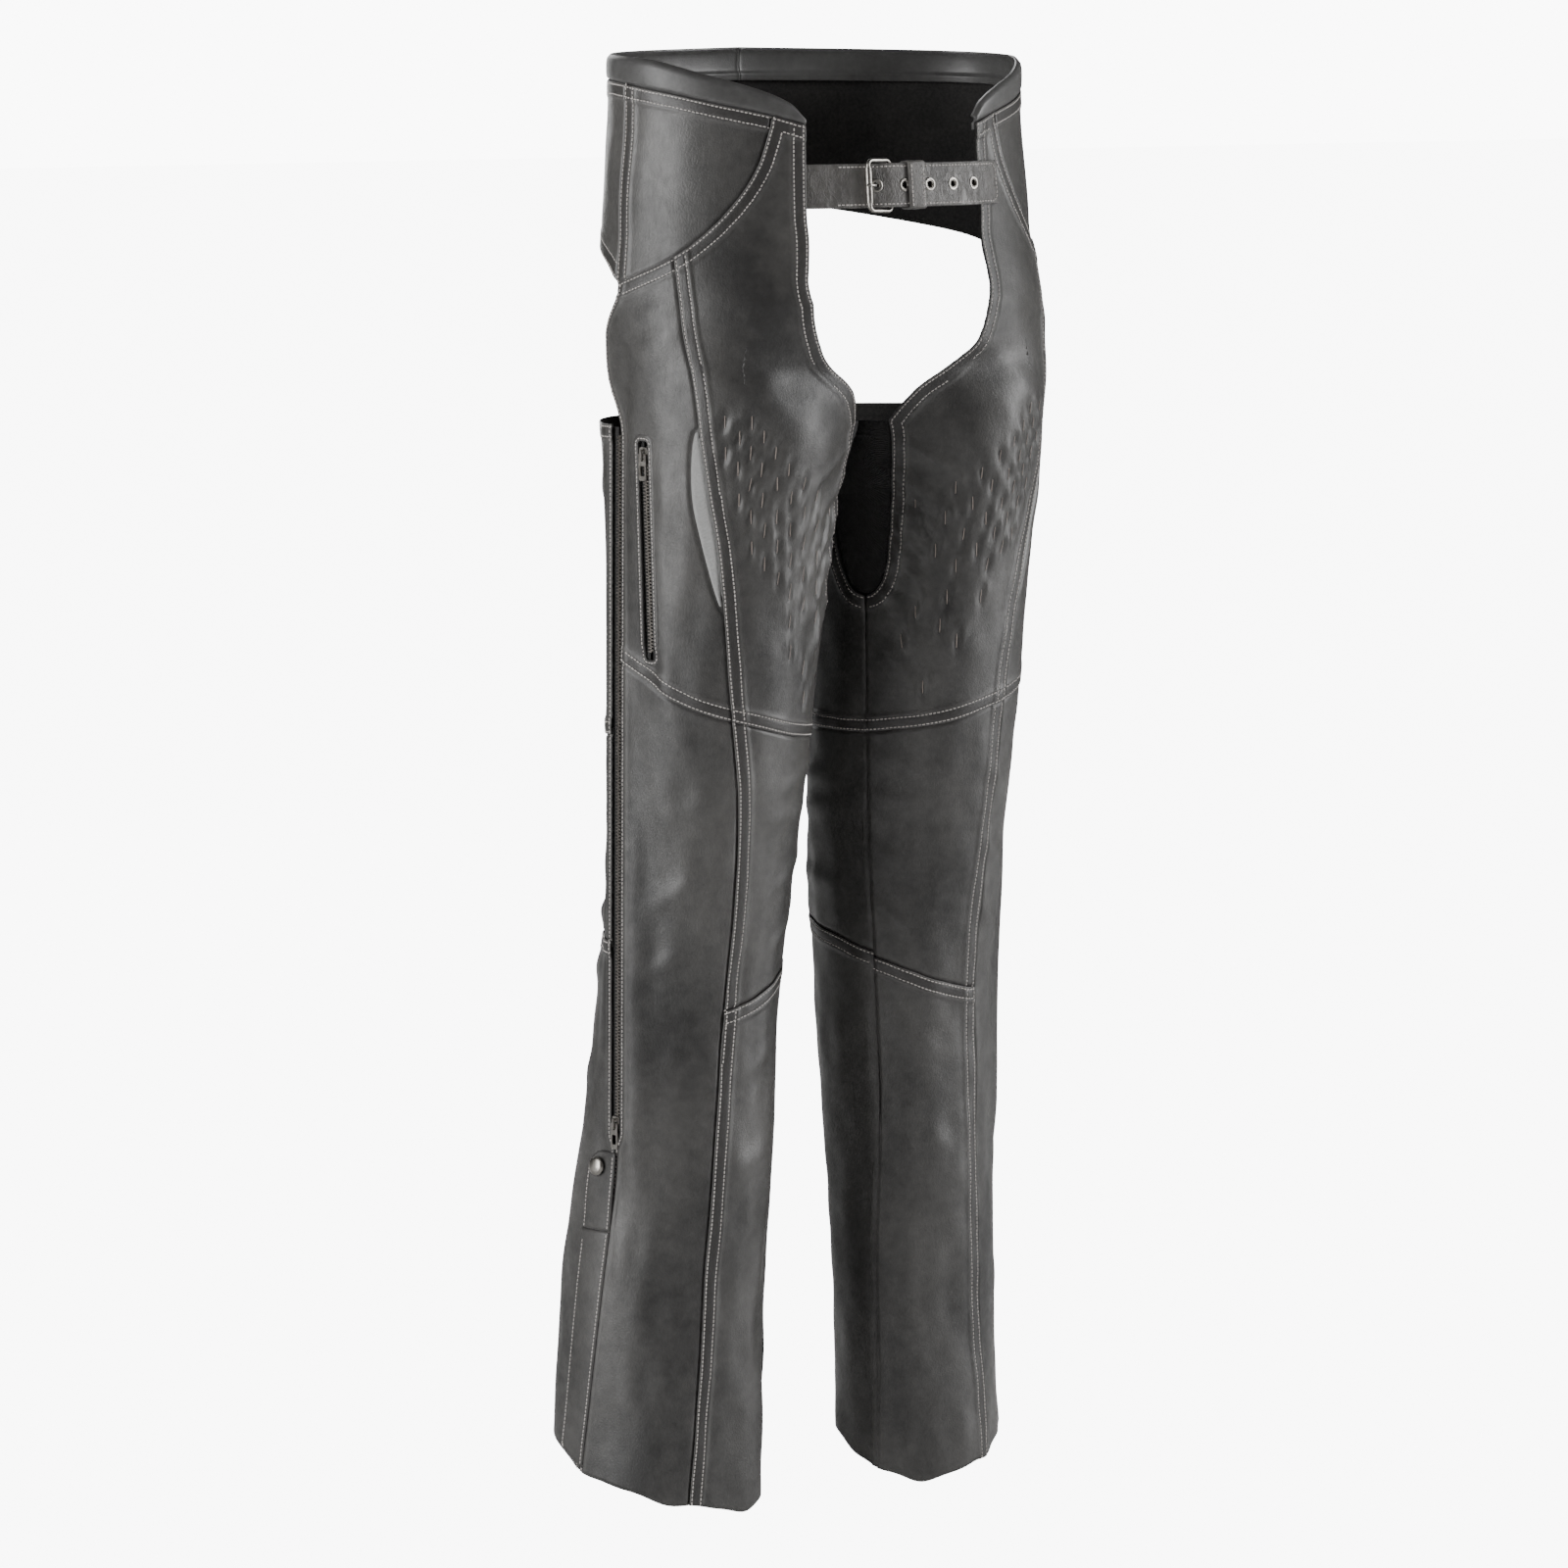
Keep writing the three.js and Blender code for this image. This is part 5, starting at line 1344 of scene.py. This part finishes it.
def wire_piece(name, points, radius, closed, matrix=None):
    """Round wire bent along a line of points."""
    curve = bpy.data.curves.new(name, "CURVE")
    curve.dimensions, curve.bevel_depth, curve.bevel_resolution = "3D", radius * MM, 5
    curve.use_fill_caps = True
    spline = curve.splines.new("POLY")
    spline.points.add(len(points) - 1)
    for spot, p in zip(spline.points, points):
        spot.co = (*(np.asarray(p) * MM), 1)
    spline.use_cyclic_u = closed
    made = bpy.data.objects.new(name, curve)
    bpy.context.scene.collection.objects.link(made)
    bpy.ops.object.select_all(action="DESELECT")
    made.select_set(True)
    bpy.context.view_layer.objects.active = made
    bpy.ops.object.convert(target="MESH")
    made = bpy.context.object
    made.data.materials.append(aged_nickel)
    if matrix is not None:
        made.data.transform(matrix)
    shade(made)
    return made


corner_path, _ = rounded_path(wide / 2, BUCKLE_HALF_HIGH - WIRE_RADIUS, 4.0)
loop = np.column_stack([corner_path[:, 0] + wide / 2, corner_path[:, 1],
                        np.zeros(len(corner_path))])
buckle = wire_piece("buckle_wire", loop, WIRE_RADIUS, True, buckle_at)
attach(buckle, "buckle")
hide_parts("buckle_frame")

roller = primitive("cylinder", "roller_tube", aged_nickel, vertices=28,
                   radius=ROLLER_RADIUS * MM, depth=26 * MM, end_fill_type="NOTHING",
                   rotation=(math.pi / 2, 0, 0), location=(wide * MM, 0, 0))
set_down(roller, buckle_at)
with_modifier(roller, "SOLIDIFY", thickness=0.6 * MM, offset=-1)
with_modifier(roller, "BEVEL", width=0.2 * MM, segments=2, limit_method="ANGLE")
shade(roller)
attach(roller, "roller")
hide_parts("buckle_roller")

hole = eyelets_at[0]
hole_lift = float(strap_lift(hole)) + 1.5
over = roller_lift + ROLLER_RADIUS + CLEAR + 0.9
knots = [on_waist(*p, 0.0) for p in (
    (HEEL_AT - 2.4, HEEL_LIFT - 0.5), (HEEL_AT - 7, HEEL_LIFT - 0.6), (hole + 2, hole_lift - 2.7),
    (hole - 0.7, hole_lift + 0.2), (hole - 2.6, over - 1.9), (ROLLER_AT - 0.6, over + 0.2),
    (ROLLER_AT - 3.2, over + 0.1))]


def smooth_path(knots, each=8):
    """A curve through every knot."""
    k = [2 * knots[0] - knots[1], *knots, 2 * knots[-1] - knots[-2]]
    made = []
    for a, b, c, d in zip(k, k[1:], k[2:], k[3:]):
        for t in np.arange(each) / each:
            made.append(0.5 * (2 * b + (c - a) * t + (2 * a - 5 * b + 4 * c - d) * t * t
                               + (3 * b - a - 3 * c + d) * t ** 3))
    return made + [knots[-1]]


prong = wire_piece("prong_rod", smooth_path(knots), PRONG_RADIUS, False)
eye = primitive("torus", "prong_eye", aged_nickel, major_radius=2.5 * MM, minor_radius=0.6 * MM,
                major_segments=28, minor_segments=10, rotation=(math.pi / 2, 0, 0))
bpy.ops.transform.resize(value=(1, 2.0, 1))
set_down(eye, buckle_at)
shade(eye)
for made in (prong, eye):
    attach(made, "prong")
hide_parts("buckle_prong")

# ---------------------------------------------------------------- keeper
# A loop of the same leather, folded flat round both straps and stitched along its edges.
KEEPER_AT, KEEPER_HALF, KEEPER_WALL = 10.0, 7.5, 1.6
low_side, top_side, side_high = -4.85, float(strap_lift(KEEPER_AT)) + 4.1, 16.4
outline, ways = filled(*rounded_path(side_high + 1.2, (top_side - low_side) / 2 + 1.2, 2.2), 1.5)
keeper_at = waist_frame(KEEPER_AT, 0.0)
rows = []
for x, inset in ((-KEEPER_HALF, 0.9), (-7.2, 0.25), (-6.4, 0), (-3.4, -0.15), (0, 0.05),
                 (3.4, -0.15), (6.4, 0), (7.2, 0.25), (KEEPER_HALF, 0.9),
                 (KEEPER_HALF, KEEPER_WALL), (-KEEPER_HALF, KEEPER_WALL)):
    ring = outline - ways * inset
    rows.append(np.column_stack([np.full(len(ring), x), ring[:, 0],
                                 ring[:, 1] + (top_side + low_side) / 2]))
n = len(outline)
quads = [(i * n + j, i * n + (j + 1) % n, ((i + 1) % len(rows)) * n + (j + 1) % n,
          ((i + 1) % len(rows)) * n + j) for i in range(len(rows)) for j in range(n)]
matrix = np.array(keeper_at)
points = np.concatenate(rows) * MM @ matrix[:3, :3].T + matrix[:3, 3]
keeper = mesh_piece("keeper_loop", points, quads, [strap_hide])
bpy.ops.object.select_all(action="DESELECT")
keeper.select_set(True)
bpy.context.view_layer.objects.active = keeper
bpy.ops.object.mode_set(mode="EDIT")
bpy.ops.mesh.select_all(action="SELECT")
bpy.ops.mesh.normals_make_consistent(inside=False)
bpy.ops.object.mode_set(mode="OBJECT")
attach(keeper, "keeper")
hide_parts("belt_keeper")
for x in (-5.2, 5.2):
    for y in np.arange(-14.5, 15, 3.1):
        at = keeper_at @ Vector((x * MM, y * MM, (top_side + 1.25) * MM))
        stitches.setdefault("keeper", []).append(
            (at, keeper_at.to_3x3() @ Vector((0, 1, 0)), keeper_at.to_3x3() @ Vector((0, 0, 1)),
             STITCH_LONG))

# ---------------------------------------------------------------- topstitching
# Pale taupe polyester thread about 0.8 mm thick. Each stitch comes up through the leather,
# lies over it and goes down again.
thread, tree, shader, where = new_finish("thread", Roughness=0.6, Sheen_Weight=0.2)
twist = texture(tree, "TexNoise", 1400, where, Detail=2.0)
soiled = texture(tree, "TexNoise", 40, where, Detail=2.0)
thread_tone = add_node(tree, "Mix", {0: soiled.outputs[0], 6: (0.44, 0.405, 0.38, 1),
                                     7: (0.72, 0.68, 0.65, 1)}, data_type="RGBA")
tree.links.new(thread_tone.outputs[2], shader.inputs["Base Color"])
bumped(tree, shader, twist.outputs[0], 0.0001)

fine_thread = bpy.data.materials.new("fine_thread")
fine_thread.use_nodes = True
shader = fine_thread.node_tree.nodes["Principled BSDF"]
shader.inputs["Base Color"].default_value = (0.40, 0.335, 0.30, 1)
shader.inputs["Roughness"].default_value = 0.6

stitch = primitive("cylinder", "stitch", thread, vertices=6, radius=1, depth=1,
                   rotation=(0, math.pi / 2, 0))
set_down(stitch)
bpy.ops.object.mode_set(mode="EDIT")
for x in (-0.32, 0.32):
    bpy.ops.mesh.select_all(action="SELECT")
    bpy.ops.mesh.bisect(plane_co=(x, 0, 0), plane_no=(1, 0, 0))
bpy.ops.object.mode_set(mode="OBJECT")
stitch_shape = np.array([v.co for v in stitch.data.vertices])
stitch_faces = [tuple(f.vertices) for f in stitch.data.polygons]
bpy.data.objects.remove(stitch)
end_of = np.abs(stitch_shape[:, 0]) > 0.45


def sew(group, body):
    places, faces = [], []
    for i, (at, along, out, long) in enumerate(stitches[group]):
        along = (along - out * along.dot(out)).normalized()
        across = out.cross(along)
        shape = stitch_shape.copy()
        thin = 0.62 if long > 0.005 else 1.0
        local = np.column_stack([
            shape[:, 0] * long, shape[:, 1] * 0.00047 * thin * np.where(end_of, 0.7, 1),
            shape[:, 2] * 0.00034 * thin * np.where(end_of, 0.8, 1)
            + np.where(end_of, -0.00022, 0.00012)])
        turned = np.array([list(along), list(across), list(out)])
        places.append(local @ turned + np.array(list(at)))
        faces += [tuple(v + i * len(shape) for v in f) for f in stitch_faces]
    finish = fine_thread if group.startswith("tacks") else thread
    sewn = mesh_piece("stitches_" + group, np.concatenate(places), faces, [finish])
    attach(sewn, body)


for group in sorted(stitches):
    riding = {"tab_right": "ankle_tab_right", "tab_left": "ankle_tab_left", "keeper": "keeper"}
    sew(group, riding.get(group, "chaps"))

# ---------------------------------------------------------------- studio
# A pale sweep of paper under the hanging chaps, a big soft light on each side and a camera
# at standing distance, a third of a right angle round to the wearer's right.
low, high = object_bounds()
sweep = primitive("plane", "studio_floor", garment_hide, size=60, location=(0, 0, -1.012))
bpy.ops.mesh.subdivide(number_cuts=8)
set_down(sweep)
paper, tree, shader, where = new_finish("paper", Roughness=0.95, Base_Color=(0.85, 0.85, 0.85, 1))
glow = add_node(tree, "Emission", {"Color": (1, 1, 1, 1), "Strength": 11.0})
seen = add_node(tree, "MixShader", {0: sum_of(tree, "MULTIPLY", add_node(
    tree, "LightPath").outputs["Is Camera Ray"], 0.8), 1: shader.outputs[0], 2: glow.outputs[0]})
tree.links.new(seen.outputs[0], tree.nodes["Material Output"].inputs["Surface"])
sweep.data.materials.clear()
sweep.data.materials.append(paper)

world = bpy.data.worlds.new("studio_air")
world.use_nodes = True
air = world.node_tree.nodes["Background"]
air.inputs["Color"].default_value = (1, 1, 1, 1)
strength = add_node(world.node_tree, "MapRange", {
    "Value": add_node(world.node_tree, "LightPath").outputs["Is Camera Ray"], 3: 0.07, 4: 9.6})
world.node_tree.links.new(strength.outputs[0], air.inputs["Strength"])
bpy.context.scene.world = world


def soft_light(name, round_to, away, height, size, power):
    """A softbox facing the chaps, by its bearing in degrees from the front."""
    bearing = math.radians(round_to)
    place = Vector((math.sin(bearing) * away, -math.cos(bearing) * away, height))
    lamp = bpy.data.lights.new(name, "AREA")
    lamp.shape, lamp.size, lamp.size_y, lamp.energy = "RECTANGLE", size[0], size[1], power
    made = bpy.data.objects.new(name, lamp)
    made.location = place
    made.rotation_euler = (Vector((0, 0, -0.5)) - place).to_track_quat("-Z", "Y").to_euler()
    bpy.context.scene.collection.objects.link(made)


soft_light("side_softbox", -88, 3.2, 0.1, (1.4, 2.8), 112)
soft_light("far_softbox", 56, 3.2, 0.3, (1.2, 2.8), 105)
soft_light("front_softbox", 8, 4.4, 1.0, (1.2, 1.6), 6)
soft_light("rear_softbox", 165, 3.6, 0.6, (1.4, 2.4), 40)

camera = bpy.data.objects.new("camera", bpy.data.cameras.new("camera"))
round_by, away, above, beside, aim_low = math.radians(33), 4.5, 0.15, -0.024, -0.4537
to_side = Vector((math.cos(round_by), -math.sin(round_by), 0))
back = Vector((-math.sin(round_by), -math.cos(round_by), 0))
aim = to_side * beside + Vector((0, 0, aim_low))
camera.location = to_side * beside + back * away + Vector((0, 0, above))
camera.rotation_euler = (aim - camera.location).to_track_quat("-Z", "Y").to_euler()
camera.data.sensor_width, camera.data.lens = 36, 138
camera.data.clip_start, camera.data.clip_end = 0.1, 60
bpy.context.scene.collection.objects.link(camera)
bpy.context.scene.camera = camera
